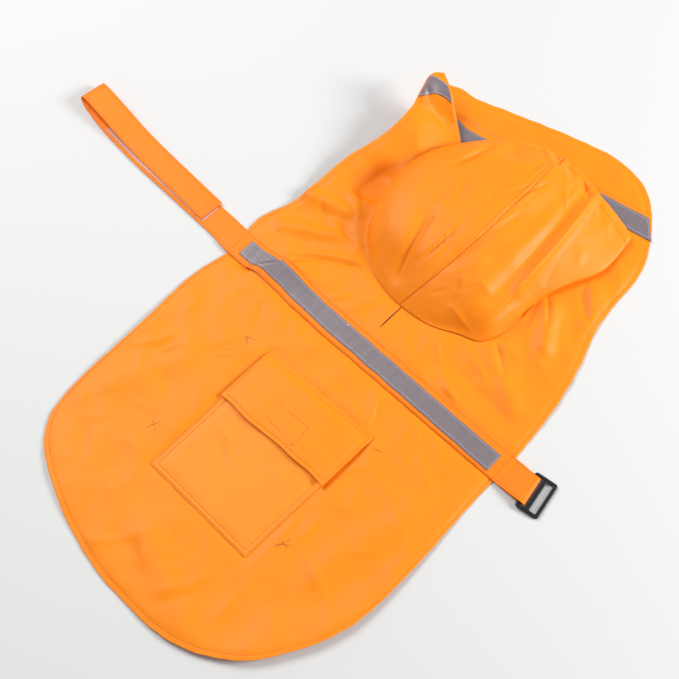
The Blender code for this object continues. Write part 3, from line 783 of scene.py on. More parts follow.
def hood_top(form, down, length, side):
    """The hood's outer surface with its creases, crown seam, casing and gathered rim; side is -1 or 1."""
    x, y, z = form(down, length)
    off_seam, off_rim = down * HOOD_DEPTH, (1 - length) * HOOD_LENGTH
    seen_x = x + HOOD_SIGHT.lean_x * (z - HOOD_SIGHT.height)
    seen_y = y + HOOD_SIGHT.lean_y * (z - HOOD_SIGHT.height)
    free = soft_step(length * HOOD_LENGTH / 12) * soft_step((1 - down) * HOOD_DEPTH / 9)
    creases = CREASE_DEPTH * crease_height(seen_x, seen_y, HOOD_CREASES)
    z += (creases + 0.6 * CRUMPLE_HEIGHT * crumple(seen_x, seen_y, 4)) * free
    z -= CROWN_PULL * sin(pi * length) * exp(-off_seam / CROWN_PULL_REACH[side > 0])
    gather = 1.2 if side > 0 else 0.7
    z += gather * pucker(down * HOOD_DEPTH + 300 * side, 8) * ease(off_rim, 26) * soft_step((1 - down) * 6)
    z += groove(off_rim - CASING_WIDTH, 0.6, 1.1) * soft_step((1 - down) * 12)
    if side < 0:
        z += 0.3 * soft_step((CROWN_SEAM[1] - off_seam) / 1.2) + groove(off_seam - CROWN_SEAM[1], 0.4)
    z += from_edge(off_seam, 0.5, 0.6) + from_edge(off_rim, 1.6, 1.6)
    x += side * (HOOD_SEAM_GAP if down < 0.5 else 0.0)
    return frame_point(x, y, z)


def patch_edges(y):
    """The pocket patch's left and right edges at a height up the patch."""
    share = (y - PATCH_BOTTOM.y) / (PATCH_MOUTH.y - PATCH_BOTTOM.y)
    left = PATCH_BOTTOM.left + (PATCH_MOUTH.left - PATCH_BOTTOM.left) * share
    return left, PATCH_BOTTOM.right + (PATCH_MOUTH.right - PATCH_BOTTOM.right) * share


def patch_rise(x, y):
    """The pocket patch's underside: stitched flat at its sides and bottom, slack at its mouth."""
    cross = min(max((x - PATCH_MOUTH.left) / (PATCH_MOUTH.right - PATCH_MOUTH.left), 0.0), 1.0)
    return back_top(x, y) + GAP + PATCH_PUFF * sin(pi * cross) * soft_step(y / PATCH_MOUTH.y)


def patch_top(x, y):
    left, right = patch_edges(y)
    inset = min(x - left, right - x, y - PATCH_BOTTOM.y)
    free = soft_step((inset - DOUBLE_SEAM[1]) / 10)
    slack = 0.8 + crease_height(x, y, PATCH_CREASES) + 0.35 * crumple(x, y, 6)
    seams = sum(groove(inset - seam, 0.4) for seam in DOUBLE_SEAM)
    seams += 0.12 * pucker(x + y, 12) * exp(-(((inset - 4) / 5) ** 2))
    return patch_rise(x, y) + CLOTH + slack * free * soft_step((PATCH_MOUTH.y - y) / 30) + seams


def flap_top(x, y):
    """The pocket flap's top: sewn down at its seam, and lifted off the patch towards its free edge."""
    low = 0
    while low < len(FLAP_WAVES) - 2 and FLAP_WAVES[low + 1].x < x:
        low += 1
    wave = low + (x - FLAP_WAVES[low].x) / (FLAP_WAVES[low + 1].x - FLAP_WAVES[low].x)
    _, seam_y, edge_y, lift = between(FLAP_WAVES, wave)
    v = min(max((y - edge_y) / (seam_y - edge_y), 0.0), 1.0)
    fall = soft_step((seam_y - y) / (seam_y - PATCH_MOUTH.y))
    over = CLOTH + GAP + 0.9 + lift * (1 - v) ** FLAP_CURL
    inset = min(x - FLAP_WAVES[0].x, FLAP_WAVES[-1].x - x, y - edge_y, seam_y - y)
    free = soft_step((inset - FLAP_SEAM) / 8)
    loose = (crease_height(x, y, FLAP_TOP_CREASES) + 0.3 * crumple(x, y, 7)) * free
    box = groove(box_distance(x, y), 0.3) + groove(inset - FLAP_SEAM, 0.35)
    return patch_rise(x, y) + CLOTH + fall * over + loose + box + 0.12 * pucker(x + y, 14)


def box_distance(x, y):
    """How far a place on the flap is from the stitched box."""
    left, right, low, high = FASTENER_BOX[0].x, FASTENER_BOX[1].x, FASTENER_BOX[2].y, FASTENER_BOX[0].y
    outside = hypot(max(left - x, x - right, 0), max(low - y, y - high, 0))
    inside = max(min(x - left, right - x, y - low, high - y), 0)
    return max(outside, inside)


def strip_top(start, end, width, rise, slant=0.0, bend=None):
    """A function for a strip laid on the back: along (0 to 1) and off its middle in millimetres."""
    run = Vector((end[0] - start[0], end[1] - start[1]))
    side = Vector((-run.y, run.x)).normalized()

    def top(share, off, lift=0.0):
        x = start[0] + run.x * share + side.x * off - slant * off / width * share
        y = start[1] + run.y * share + side.y * off
        depth, start_out, end_out, start_back, end_back = bend or BELT_KINK
        at = share if bend else x
        out = soft_step((at - start_out) / (end_out - start_out))
        y += depth * out * (1 - soft_step((at - start_back) / (end_back - start_back)))
        y += TRIM_UNEVEN * noise.noise(Vector((x / 21, off / 60, 9))) * soft_step(min(share, 1 - share) * 20)
        lift += TRIM_LIFT * (1 + noise.noise(Vector((x / 9, off / 30, 17))))
        return frame_point(x, y, back_top(x, y) + rise + lift)

    return top


STRAP_WRINKLE = 1.2
BAND_TOP = GAP + CLOTH
TAPE_TOP = GAP + CLOTH + GAP + 0.5
belt_band_top = strip_top(BAND_LEFT, BAND_RIGHT, BAND_WIDTH, BAND_TOP)
belt_tape_top = strip_top(BELT_TAPE_LEFT, BELT_TAPE_RIGHT, TAPE_WIDTH, TAPE_TOP)
chest_tape_top = strip_top(
    CHEST_TAPE_INNER, CHEST_TAPE_OUTER, TAPE_WIDTH, GAP + 0.6, CHEST_TAPE_SLANT, CHEST_TAPE_BEND
)


def strap_side(rows, steps):
    """A function for a strap: step along its middle line, across from -0.5 to 0.5, and off its underside."""
    middle, length = evenly(rows, steps)
    half_wall = CLOTH / 2

    def place(step, across, off):
        x, y, z, width, turn = middle[step]
        z = max(z, half_wall)
        x0, y0, z0 = middle[max(step - 1, 0)][:3]
        x1, y1, z1 = middle[min(step + 1, steps)][:3]
        heading = Vector((cos(radians(turn)), sin(radians(turn))))
        slope = Vector((Vector((x1 - x0, y1 - y0)).dot(heading), z1 - z0)).normalized()
        inset = (0.5 - abs(across)) * width
        drift = Vector((step * length / steps / 9, across * 2.0, width))
        wrinkle = STRAP_WRINKLE * (0.5 + 0.5 * noise.noise(drift))
        off += slope.x * (max(groove(inset - STRAP_SEAM, 0.3) + wrinkle, 0.0))
        back = heading * slope.y * (half_wall - off)
        side = Vector((-heading.y, heading.x)) * across * width
        return frame_point(x + side.x + back.x, y + side.y + back.y, z - slope.x * (half_wall - off))

    return place, length


# ---- Making meshes ----


def add_piece(name, made, material):
    """An object of the scene from a bmesh, which is freed."""
    mesh = bpy.data.meshes.new(name)
    made.to_mesh(mesh)
    made.free()
    mesh.shade_smooth()
    mesh.materials.append(material)
    piece = bpy.data.objects.new(name, mesh)
    bpy.context.scene.collection.objects.link(piece)
    return piece


def stands_for(piece, node):
    """A finished piece takes its CAD node's place and moves with the coat."""
    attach(piece, "root")
    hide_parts(node)


def sheet(name, across, lengthwise, place, wall, material, cut=None, shape=None):
    """A sheet of cloth: a grid with its top at place(u, v), a UV map in metres and a wall below.

    across and lengthwise hold the grid's shares from 0 to 1. cut(u, v) gives the place on the flat cut for
    the UV map, which otherwise is the plan. shape(made, grid) may change the sheet before it gets its wall.
    """
    made = bmesh.new()
    weave = made.loops.layers.uv.new("cut")
    columns, rows = len(across) - 1, len(lengthwise) - 1
    bmesh.ops.create_grid(made, x_segments=columns, y_segments=rows, size=1.0)
    grid, flat = {}, {}
    for vert in made.verts:
        i, j = round((vert.co.x + 1) / 2 * columns), round((vert.co.y + 1) / 2 * rows)
        vert.co = place(across[i], lengthwise[j])
        grid[i, j] = vert
        flat[vert] = Vector(cut(across[i], lengthwise[j])) if cut else vert.co.xy
    for face in made.faces:
        for loop in face.loops:
            loop[weave].uv = flat[loop.vert]
    if shape:
        shape(made, grid)
    piece = add_piece(name, made, material)
    thicken = piece.modifiers.new("Cloth", "SOLIDIFY")
    thicken.thickness = abs(wall) * MM
    thicken.offset = 1.0 if wall > 0 else -1.0
    return piece


STITCHES_AT_ONCE = 24  # adding many to one bmesh is slow, so they are made a few at a time
SEAM_THREAD, POCKET_THREAD, TACK_THREAD, TAPE_THREAD = 0.42, 0.5, 0.7, 0.85  # widths of a stitch


def spaced(line, pitch):
    """Points at about that pitch along a line of points, in metres."""
    lengths = [0.0]
    for first, second in zip(line, line[1:]):
        lengths.append(lengths[-1] + (second - first).length)
    count = max(round(lengths[-1] / pitch), 1)
    return [line[part].lerp(line[part + 1], share) for part, share in even_places(lengths, count)]


def sew(name, lines, material, width=SEAM_THREAD):
    """Rows of stitches as one mesh: a small rounded capsule of thread for each stitch along each line."""
    pitch = bpy.context.scene.raincoat_sizes.stitch_pitch
    uneven = Random(name)
    places = []
    for line in lines:
        knots = spaced(line, pitch)
        for start, end in zip(knots, knots[1:]):
            ahead = (end - start).normalized()
            side = ahead.cross(UP).normalized()
            turned = Matrix((side, side.cross(ahead), ahead)).transposed().to_4x4()
            length = (end - start).length * uneven.uniform(0.74, 0.86)
            shaped = Matrix.Diagonal((width * MM / 2, width * MM / 2, length / 2, 1))
            drift = side * uneven.uniform(-0.08, 0.08) * MM
            places.append(Matrix.Translation((start + end) / 2 + drift) @ turned @ shaped)
    made = bmesh.new()
    for first in range(0, len(places), STITCHES_AT_ONCE):
        few = bmesh.new()
        for placed in places[first : first + STITCHES_AT_ONCE]:
            bmesh.ops.create_uvsphere(few, u_segments=6, v_segments=4, radius=1.0, matrix=placed)
        part = bpy.data.meshes.new("few_stitches")
        few.to_mesh(part)
        few.free()
        made.from_mesh(part)
        bpy.data.meshes.remove(part)
    piece = add_piece(name, made, material)
    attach(piece, "root")
    return piece


# ---- Finishes ----


class Finish:
    """A material in the making: its tones, gloss and bumps are added one by one."""

    def __init__(self, name, **sockets):
        self.material = bpy.data.materials.new(name)
        self.material.use_nodes = True
        self.tree = self.material.node_tree
        self.shader = self.tree.nodes["Principled BSDF"]
        for socket, value in sockets.items():
            self.shader.inputs[socket.replace("_", " ")].default_value = value
        places = self.node("TexCoord").outputs
        self.cut, self.place = places["UV"], places["Object"]
        self.raised = {}

    def node(self, kind, inputs=None, **settings):
        """A shader node with its settings, and its inputs set or linked."""
        node = self.tree.nodes.new("ShaderNode" + kind)
        for name, value in settings.items():
            setattr(node, name, value)
        for name, value in (inputs or {}).items():
            if isinstance(value, bpy.types.NodeSocket):
                self.tree.links.new(value, node.inputs[name])
            else:
                node.inputs[name].default_value = value
        return node

    def noise(self, vector, scale, detail, distortion=0.0):
        inputs = {"Vector": vector, "Scale": scale, "Detail": detail, "Distortion": distortion}
        return self.node("TexNoise", inputs).outputs["Fac"]

    def waves(self, vector, scale, distortion, direction):
        inputs = {"Vector": vector, "Scale": scale, "Distortion": distortion}
        return self.node("TexWave", inputs, bands_direction=direction).outputs["Fac"]

    def joined(self, first, second, operation="MULTIPLY"):
        return self.node("Math", {0: first, 1: second}, operation=operation).outputs[0]

    def weave(self, pitch):
        """Height of a plain weave with yarns at that pitch, in metres, on the flat cut."""
        return self.joined(*(self.waves(self.cut, pi / 10 / pitch, 0.6, way) for way in "XY"))

    def tones(self, factor, colour, darker, lighter):
        """A base colour that wanders between a darker and a lighter tone of itself."""
        dark, light = ((*(min(c * scale, 1.0) for c in colour), 1.0) for scale in (darker, lighter))
        mixed = self.node("Mix", {"Factor": factor, 6: dark, 7: light}, data_type="RGBA")
        self.tree.links.new(mixed.outputs[2], self.shader.inputs["Base Color"])

    def gloss(self, factor, smooth, rough):
        """A roughness that wanders between two values."""
        spread = self.node("MapRange", {"Value": factor, "To Min": smooth, "To Max": rough})
        self.tree.links.new(spread.outputs["Result"], self.shader.inputs["Roughness"])

    def bump(self, height, strength, distance):
        """Raise the surface by a height, on top of the bumps made before it."""
        inputs = {"Height": height, "Strength": strength, "Distance": distance, **self.raised}
        self.raised = {"Normal": self.node("Bump", inputs).outputs["Normal"]}
        self.tree.links.new(self.raised["Normal"], self.shader.inputs["Normal"])


def coated_cloth(name, colour, roughness, pitch):
    """Tightly woven polyester with a semi-matte coating: weave, faint mottling and uneven gloss."""
    made = Finish(name, Specular_IOR_Level=0.26)
    mottle = made.noise(made.place, scale=26.0, detail=4.0)
    grain = made.noise(made.cut, scale=520.0, detail=2.0)
    made.tones(made.joined(made.joined(mottle, grain), 2.0), colour, darker=0.94, lighter=1.05)
    made.gloss(mottle, roughness - 0.06, roughness + 0.08)
    made.bump(made.weave(pitch), strength=0.35, distance=0.00006)
    made.bump(grain, strength=0.25, distance=0.0002)
    return made.material


def bead_tape(name, colour):
    """Grey reflective tape: a close layer of tiny glass beads on a fine woven backing."""
    made = Finish(name, Roughness=0.42, Metallic=0.25, Specular_IOR_Level=0.4)
    beads = made.node("TexVoronoi", {"Vector": made.cut, "Scale": 2400.0}).outputs["Distance"]
    cloudy = made.noise(made.place, scale=60.0, detail=5.0)
    made.tones(made.joined(beads, cloudy, "ADD"), colour, darker=0.86, lighter=1.1)
    made.bump(made.weave(pitch=0.0007), strength=0.3, distance=0.00008)
    made.bump(beads, strength=0.5, distance=0.00006)
    return made.material


def hook_pile(name, colour):
    """The loop side of a hook-and-loop strip: a dense tangle of fine fibres."""
    made = Finish(name, Roughness=0.9, Sheen_Weight=0.35, Sheen_Roughness=0.4)
    tangle = made.noise(made.place, scale=1500.0, detail=4.0, distortion=1.5)
    made.tones(tangle, colour, darker=0.72, lighter=1.2)
    made.bump(tangle, strength=0.8, distance=0.0005)
    return made.material


def spun_thread(name, colour):
    """Twisted polyester sewing thread."""
    made = Finish(name, Roughness=0.5, Sheen_Weight=0.2)
    twist = made.waves(made.place, scale=900.0, distortion=2.0, direction="DIAGONAL")
    made.tones(twist, colour, darker=0.8, lighter=1.1)
    made.bump(twist, strength=0.4, distance=0.00008)
    return made.material


def moulded_plastic(name, colour):
    """Black acetal with a fine moulded grain and faint scuffs."""
    made = Finish(name, Specular_IOR_Level=0.5)
    scuff = made.noise(made.place, scale=90.0, detail=6.0, distortion=0.8)
    made.tones(scuff, colour, darker=0.7, lighter=1.6)
    made.gloss(scuff, 0.26, 0.46)
    made.bump(made.noise(made.place, scale=1400.0, detail=3.0), strength=0.3, distance=0.00008)
    return made.material


def studio_paper(name, colour):
    """The pale floor: matte paper with a barely visible mottling."""
    made = Finish(name, Roughness=0.75, Specular_IOR_Level=0.25)
    made.tones(made.noise(made.place, scale=2.2, detail=2.0), colour, darker=0.985, lighter=1.01)
    return made.material


def finish(name):
    """A finish by its name, made when it is first asked for."""
    if name in bpy.data.materials:
        return bpy.data.materials[name]
    colours = bpy.context.scene.raincoat_colours
    pitch = bpy.context.scene.raincoat_sizes.yarn_pitch
    makers = {
        "coat_shell": lambda: coated_cloth(name, colours.shell, 0.46, pitch),
        # painted sheen: the pocket's cloth is tinted lighter than the shell's
        "coat_pocket": lambda: coated_cloth(name, colours.pocket, 0.47, pitch),
        "coat_strap": lambda: coated_cloth(name, colours.strap, 0.5, pitch),
        "coat_tape": lambda: bead_tape(name, colours.tape),
        "coat_pile": lambda: hook_pile(name, colours.pile),
        "coat_thread": lambda: spun_thread(name, colours.thread),
        # dark thread with painted shade of the pocket's edge gaps
        "coat_dark_thread": lambda: spun_thread(name, colours.pocket_thread_painted_shade),
        "coat_white_thread": lambda: spun_thread(name, colours.tape_thread),
        "coat_buckle": lambda: moulded_plastic(name, colours.buckle),
        "coat_floor": lambda: studio_paper(name, colours.floor),
    }
    return makers[name]()


# ---- Pieces ----

# How fine the sheets are: steps round the cape and down it, steps along the straps, and elsewhere the
# spacing of a sheet's grid in millimetres
CAPE_COLUMNS = 430
CAPE_ROWS = 84
LONG_STRAP_STEPS, SHORT_STRAP_STEPS = 330, 110
HOOD_GRID, PILE_GRID = (2.1, 2.3), (3.0, 2.0)
PATCH_GRID, FLAP_GRID, BELT_GRID, CHEST_GRID, LEFT_TAPE_GRID, STRAP_GRID = 2.6, 2.4, 2.4, 3.0, 1.6, 4.0
HEM_STATIONS = (14.0, 10.6, 9.0, 8.0, 7.3, 6.8, 6.4, 6.0, 5.4, 4.4, 3.0, 1.8, 0.9, 0.35, 0.0)


def panel_length(row):
    """How far it is from the neck hole's edge to a hem row."""
    neck_x, neck_y = neck_place(row.bearing)
    return hypot(row.x - neck_x, row.y - neck_y)


def make_cape():
    """The back with both fronts, its leash slit and the turned hem's row of stitches."""
    rows = hem_rows(CAPE_COLUMNS)
    columns = [i / CAPE_COLUMNS for i in range(CAPE_COLUMNS + 1)]
    steps = [i / CAPE_ROWS for i in range(CAPE_ROWS)]

    def shares(row):
        length = panel_length(row)
        body = 1 - HEM_STATIONS[0] / length
        edge = min(1.2 / length / body, steps[1] / 2)
        inner = [0.0, edge] + [s * body for s in steps[1:]]
        return inner + [1 - station / length for station in HEM_STATIONS]

    shares_of = [shares(row) for row in rows]
    count = len(shares_of[0]) - 1

    def place(u, v):
        column = round(u * CAPE_COLUMNS)
        return frame_point(*cape_top(rows[column], shares_of[column][round(v * count)]))

    lengthwise = [j / count for j in range(count + 1)]
    wall = -(CLOTH - 0.1)
    cape = sheet("cape", columns, lengthwise, place, wall, finish("coat_shell"), shape=open_leash_slit)
    stands_for(cape, "cape_body")
    hem = []
    for row in rows:
        x, y, z = cape_top(row, 1 - HEM_SEAM / panel_length(row))
        hem.append(frame_point(x, y, z + SEAM_THREAD_LIFT))
    sew("hem_stitches", [hem], finish("coat_thread"))
    tacks = []
    for tack in LEG_LOOP_TACKS:
        spots = ((tack.x0, tack.y0), (tack.x1, tack.y1))
        tacks.append([frame_point(x, y, back_top(x, y) + 0.15) for x, y in spots])
    sew("leg_loop_tacks", tacks, finish("coat_dark_thread"), TACK_THREAD)


def open_leash_slit(made, grid):
    """Part the cape along the column behind the neck, and turn both lips of the slit down."""
    top, bottom = frame_point(SLIT.x, SLIT.y1, 0), frame_point(SLIT.x, SLIT.y0, 0)
    middle_y = (top.y + bottom.y) / 2
    last_row = max(j for i, j in grid)
    last_column = max(i for i, j in grid)
    nearest = min(
        ((i, j) for i in range(last_column + 1) for j in range(last_row // 3)),
        key=lambda at: (grid[at].co.xy - Vector((top.x, middle_y))).length,
    )[0]
    rows = [j for j in range(last_row // 3) if bottom.y < grid[nearest, j].co.y < top.y]
    for j in range(max(rows[0] - 2, 0), rows[-1] + 3):
        shift = top.x - grid[nearest, j].co.x
        for i in range(nearest - 12, nearest + 13):
            grid[i, j].co.x += shift * exp(-(((i - nearest) / 5) ** 2))
    edges = []
    for a, b in zip(rows, rows[1:]):
        low, high = grid[nearest, a], grid[nearest, b]
        edges += [edge for edge in low.link_edges if edge.other_vert(low) == high]
    for j in rows:
        opened = sin(pi * (j - rows[0] + 0.5) / len(rows)) ** 0.5
        for i, drop in ((0, 0.75), (-1, 0.1), (1, 0.1), (-2, -0.3), (2, -0.3), (-3, -0.2), (3, -0.2)):
            grid[nearest + i, j].co.z -= drop * opened * MM
    split = bmesh.ops.split_edges(made, edges=edges)
    lips = {vert for edge in split["edges"] for vert in edge.verts}
    for vert in lips:
        sides = [face.calc_center_median().x for face in vert.link_faces]
        if max(sides) > top.x > min(sides):
            continue
        shares = (vert.co.y - bottom.y) / (top.y - bottom.y)
        gap = SLIT.half_gap * MM * sin(pi * min(max(shares, 0.04), 0.96)) ** 0.5
        vert.co.x += gap if min(sides) > top.x else -gap


def make_hood():
    """Both halves of the hood, the crown seam's two rows of stitches and the casing's row."""
    across = stations(HOOD_DEPTH, HOOD_GRID[0], CROWN_SEAM)
    lengthwise = stations(HOOD_LENGTH, HOOD_GRID[1], (HOOD_LENGTH - CASING_WIDTH,))
    left_form, right_form = hood_form(HOOD_LEFT), hood_form(HOOD_RIGHT)
    mirrored = [1 - share for share in reversed(across)]

    def cut(u, v):
        return u * HOOD_DEPTH * MM, v * HOOD_LENGTH * MM

    def left(u, v):
        return hood_top(left_form, 1 - u, v, -1)

    def right(u, v):
        return hood_top(right_form, u, v, 1)

    shell = finish("coat_shell")
    left_half = sheet("hood_half_left", mirrored, lengthwise, left, -HOOD_WALL, shell, cut)
    right_half = sheet("hood_half_right", across, lengthwise, right, -HOOD_WALL, shell, cut)
    stands_for(left_half, "hood_left")
    stands_for(right_half, "hood_right")

    shares = [i / 150 for i in range(1, 150)]
    raised = UP * THREAD_LIFT * MM
    crown = [[left(1 - off / HOOD_DEPTH, v) + raised for v in shares] for off in CROWN_SEAM]
    sew("crown_stitches", crown, finish("coat_thread"))
    rim = 1 - CASING_WIDTH / HOOD_LENGTH
    casing = [[left(u, rim) + raised for u in shares if u > 0.3]]
    casing += [[right(u, rim) + raised for u in shares if u < 0.8]]
    sew("casing_stitches", casing, finish("coat_thread"))


def make_pocket():
    """The patch pocket and its flap, with their rows of stitches."""
    width = PATCH_MOUTH.right - PATCH_MOUTH.left
    seams = (*DOUBLE_SEAM, *(width - seam for seam in DOUBLE_SEAM))
    across = stations(width, PATCH_GRID, seams)
    lengthwise = stations(PATCH_MOUTH.y, PATCH_GRID, DOUBLE_SEAM)

    def patch(u, v):
        y = PATCH_MOUTH.y * v
        left, right = patch_edges(y)
        x = left + (right - left) * u
        inset = min(u * width, (1 - u) * width, y)
        return frame_point(x, y, patch_top(x, y) + from_edge(inset))

    patch_piece = sheet("patch", across, lengthwise, patch, -POCKET_WALL, finish("coat_pocket"))
    stands_for(patch_piece, "pocket_patch")

    flap_width = FLAP_WAVES[-1].x - FLAP_WAVES[0].x
    box = [spot.x - FLAP_WAVES[0].x for spot in (FASTENER_BOX[0], FASTENER_BOX[1])]
    flap_across = stations(flap_width, FLAP_GRID, (FLAP_SEAM, flap_width - FLAP_SEAM, *box))
    flap_seams = (FLAP_SEAM, FLAP_DEPTH - FLAP_SEAM, *FLAP_BOX_ROWS)
    flap_lengthwise = stations(FLAP_DEPTH, FLAP_GRID, flap_seams)

    def flap(u, v):
        x, seam_y, edge_y, _ = between(FLAP_WAVES, u * (len(FLAP_WAVES) - 1))
        y = edge_y + (seam_y - edge_y) * v
        inset = min(u * flap_width, (1 - u) * flap_width, v * FLAP_DEPTH, (1 - v) * FLAP_DEPTH)
        return frame_point(x, y, flap_top(x, y) + from_edge(inset, 0.5, 0.8))

    flap_piece = sheet("flap", flap_across, flap_lengthwise, flap, -POCKET_WALL, finish("coat_shell"))
    stands_for(flap_piece, "pocket_flap")

    rows = []
    for seam in DOUBLE_SEAM:
        u, v = seam / width, seam / PATCH_MOUTH.y
        top = POCKET_ROWS_TOP / PATCH_MOUTH.y
        ups = [v + (top - v) * i / 60 for i in range(61)]
        overs = [u + (1 - 2 * u) * i / 60 for i in range(61)]
        rows.append([patch(u, s) for s in reversed(ups)] + [patch(s, v) for s in overs[1:]])
        rows[-1] += [patch(1 - u, s) for s in ups[1:]]
    u, v = FLAP_SEAM / flap_width, FLAP_SEAM / FLAP_DEPTH
    overs, ups = ([e + (1 - 2 * e) * i / 60 for i in range(61)] for e in (u, v))
    rows.append([flap(u, s) for s in reversed(ups)] + [flap(s, v) for s in overs[1:]])
    rows[-1] += [flap(1 - u, s) for s in ups[1:]] + [flap(s, 1 - v) for s in reversed(overs[:-1])]
    corners = [*FASTENER_BOX, FASTENER_BOX[0]]
    for a, b in zip(corners, corners[1:]):
        steps = [(a.x + (b.x - a.x) * i / 20, a.y + (b.y - a.y) * i / 20) for i in range(21)]
        rows.append([frame_point(x, y, flap_top(x, y)) for x, y in steps])
    for tack in FLAP_TACKS:
        spots = ((tack.x0, tack.y0), (tack.x1, tack.y1))
        rows.append([frame_point(x, y, flap_top(x, y) + THREAD_LIFT) for x, y in spots])
    raised = [[point + UP * SEAM_THREAD_LIFT * MM for point in row] for row in rows]
    # The pocket's stitches are darkened as painted shade of the gaps along its edges.
    sew("pocket_stitches", raised, finish("coat_dark_thread"), POCKET_THREAD)


def strip_sheet(name, top, length, width, spacing, seam, wall, material):
    """A strip with a row of stitches' groove along each long edge."""
    across = stations(length, spacing, (seam, length - seam))
    lengthwise = stations(width, width / 8, (seam, width - seam))

    def place(u, v):
        off = (v - 0.5) * width
        inset = min(width / 2 - abs(off), u * length, (1 - u) * length)
        lift = groove(width / 2 - abs(off) - seam, 0.22) + from_edge(inset, 0.25, 0.4)
        return top(u, off, lift)

    def cut(u, v):
        return u * length * MM, v * width * MM

    return sheet(name, across, lengthwise, place, wall, material, cut)


def strip_rows(top, width, seam, ends, lift=THREAD_LIFT):
    """Lines of stitches along both long edges of a strip, and across its ends where asked."""
    shares = [i / 300 for i in range(301)]
    off = width / 2 - seam
    rows = [[top(0.004 + 0.992 * s, side * off, lift) for s in shares] for side in (-1, 1)]
    for share in ends:
        rows.append([top(share, off * (2 * s - 1), lift) for s in shares[::15]])
    return rows


def make_belt():
    """The belt band and its reflective tape, with orange and white stitches."""
    length = BAND_RIGHT[0] - BAND_LEFT[0]
    cloth, reflective = finish("coat_strap"), finish("coat_tape")
    band = strip_sheet("band", belt_band_top, length, BAND_WIDTH, BELT_GRID, BAND_SEAM, -BAND_WALL, cloth)
    stands_for(band, "belt_band")
    tape_length = BELT_TAPE_RIGHT[0] - BELT_TAPE_LEFT[0]
    placed = (belt_tape_top, tape_length, TAPE_WIDTH)
    tape = strip_sheet("belt_reflector", *placed, BELT_GRID, TAPE_SEAM, -TAPE_WALL, reflective)
    stands_for(tape, "belt_tape")
    sew("band_stitches", strip_rows(belt_band_top, BAND_WIDTH, BAND_SEAM, ()), finish("coat_thread"))
    white = strip_rows(belt_tape_top, TAPE_WIDTH, TAPE_SEAM, (0.004, 0.996))
    knot = [Vector((dx, dy)) for dx, dy in ((-2.2, 0.4), (1.6, -1.0), (-0.8, 1.2), (2.4, 0.2), (-1.4, -0.8))]
    height = back_top(*THREAD_KNOT) + TAPE_TOP + 0.3
    ends = [frame_point(THREAD_KNOT.x + p.x, THREAD_KNOT.y + p.y, height) for p in knot]
    white += [[a, b] for a, b in zip(ends, ends[1:])]
    sew("belt_tape_stitches", white, finish("coat_white_thread"), TAPE_THREAD)


def make_chest_tapes():
    """The reflective tapes across both chest halves, with their white stitches."""
    reflective = finish("coat_tape")
    length = hypot(CHEST_TAPE_OUTER[0] - CHEST_TAPE_INNER[0], CHEST_TAPE_OUTER[1] - CHEST_TAPE_INNER[1])
    placed = (chest_tape_top, length, TAPE_WIDTH)
    right = strip_sheet("chest_reflector_right", *placed, CHEST_GRID, TAPE_SEAM, -TAPE_WALL, reflective)
    stands_for(right, "chest_tape_right")
    rows = hem_rows(CAPE_COLUMNS)

    def top(u, v):
        outer, front = (Vector(a).lerp(Vector(b), v) for a, b in (LEFT_TAPE_OUTER, LEFT_TAPE_FRONT))
        hem, share = outer.lerp(front, u)
        row = between(rows, hem * (len(rows) - 1))
        x, y, z = cape_top(row, share)
        return frame_point(x, y, z + GAP + 0.9)

    across, lengthwise = stations(LEFT_TAPE_LENGTH, LEFT_TAPE_GRID), stations(TAPE_WIDTH, LEFT_TAPE_GRID)
    left = sheet("chest_reflector_left", across, lengthwise, top, -TAPE_WALL, reflective)
    stands_for(left, "chest_tape_left")
    shares = [i / 30 for i in range(31)]
    white = strip_rows(chest_tape_top, TAPE_WIDTH, TAPE_SEAM, (0.99,))
    white += [[top(s, v) + UP * THREAD_LIFT * MM for s in shares] for v in (0.07, 0.93)]
    sew("chest_tape_stitches", white, finish("coat_white_thread"), TAPE_THREAD)


def strap_sheet(name, rows, steps, material):
    """A strap from its table of places. Its placed side is the underside where it leaves the coat."""
    place_on, length = strap_side(rows, steps)
    lengthwise = stations(rows[0].width, STRAP_GRID, (STRAP_SEAM, rows[0].width - STRAP_SEAM))

    def place(u, v):
        inset = (0.5 - abs(v - 0.5)) * rows[0].width
        return place_on(round(u * steps), v - 0.5, -from_edge(inset, 0.2, 0.5))

    def cut(u, v):
        return u * length * MM, (v - 0.5) * rows[0].width * MM

    across = [i / steps for i in range(steps + 1)]
    return sheet(name, across, lengthwise, place, CLOTH, material, cut), place_on, length


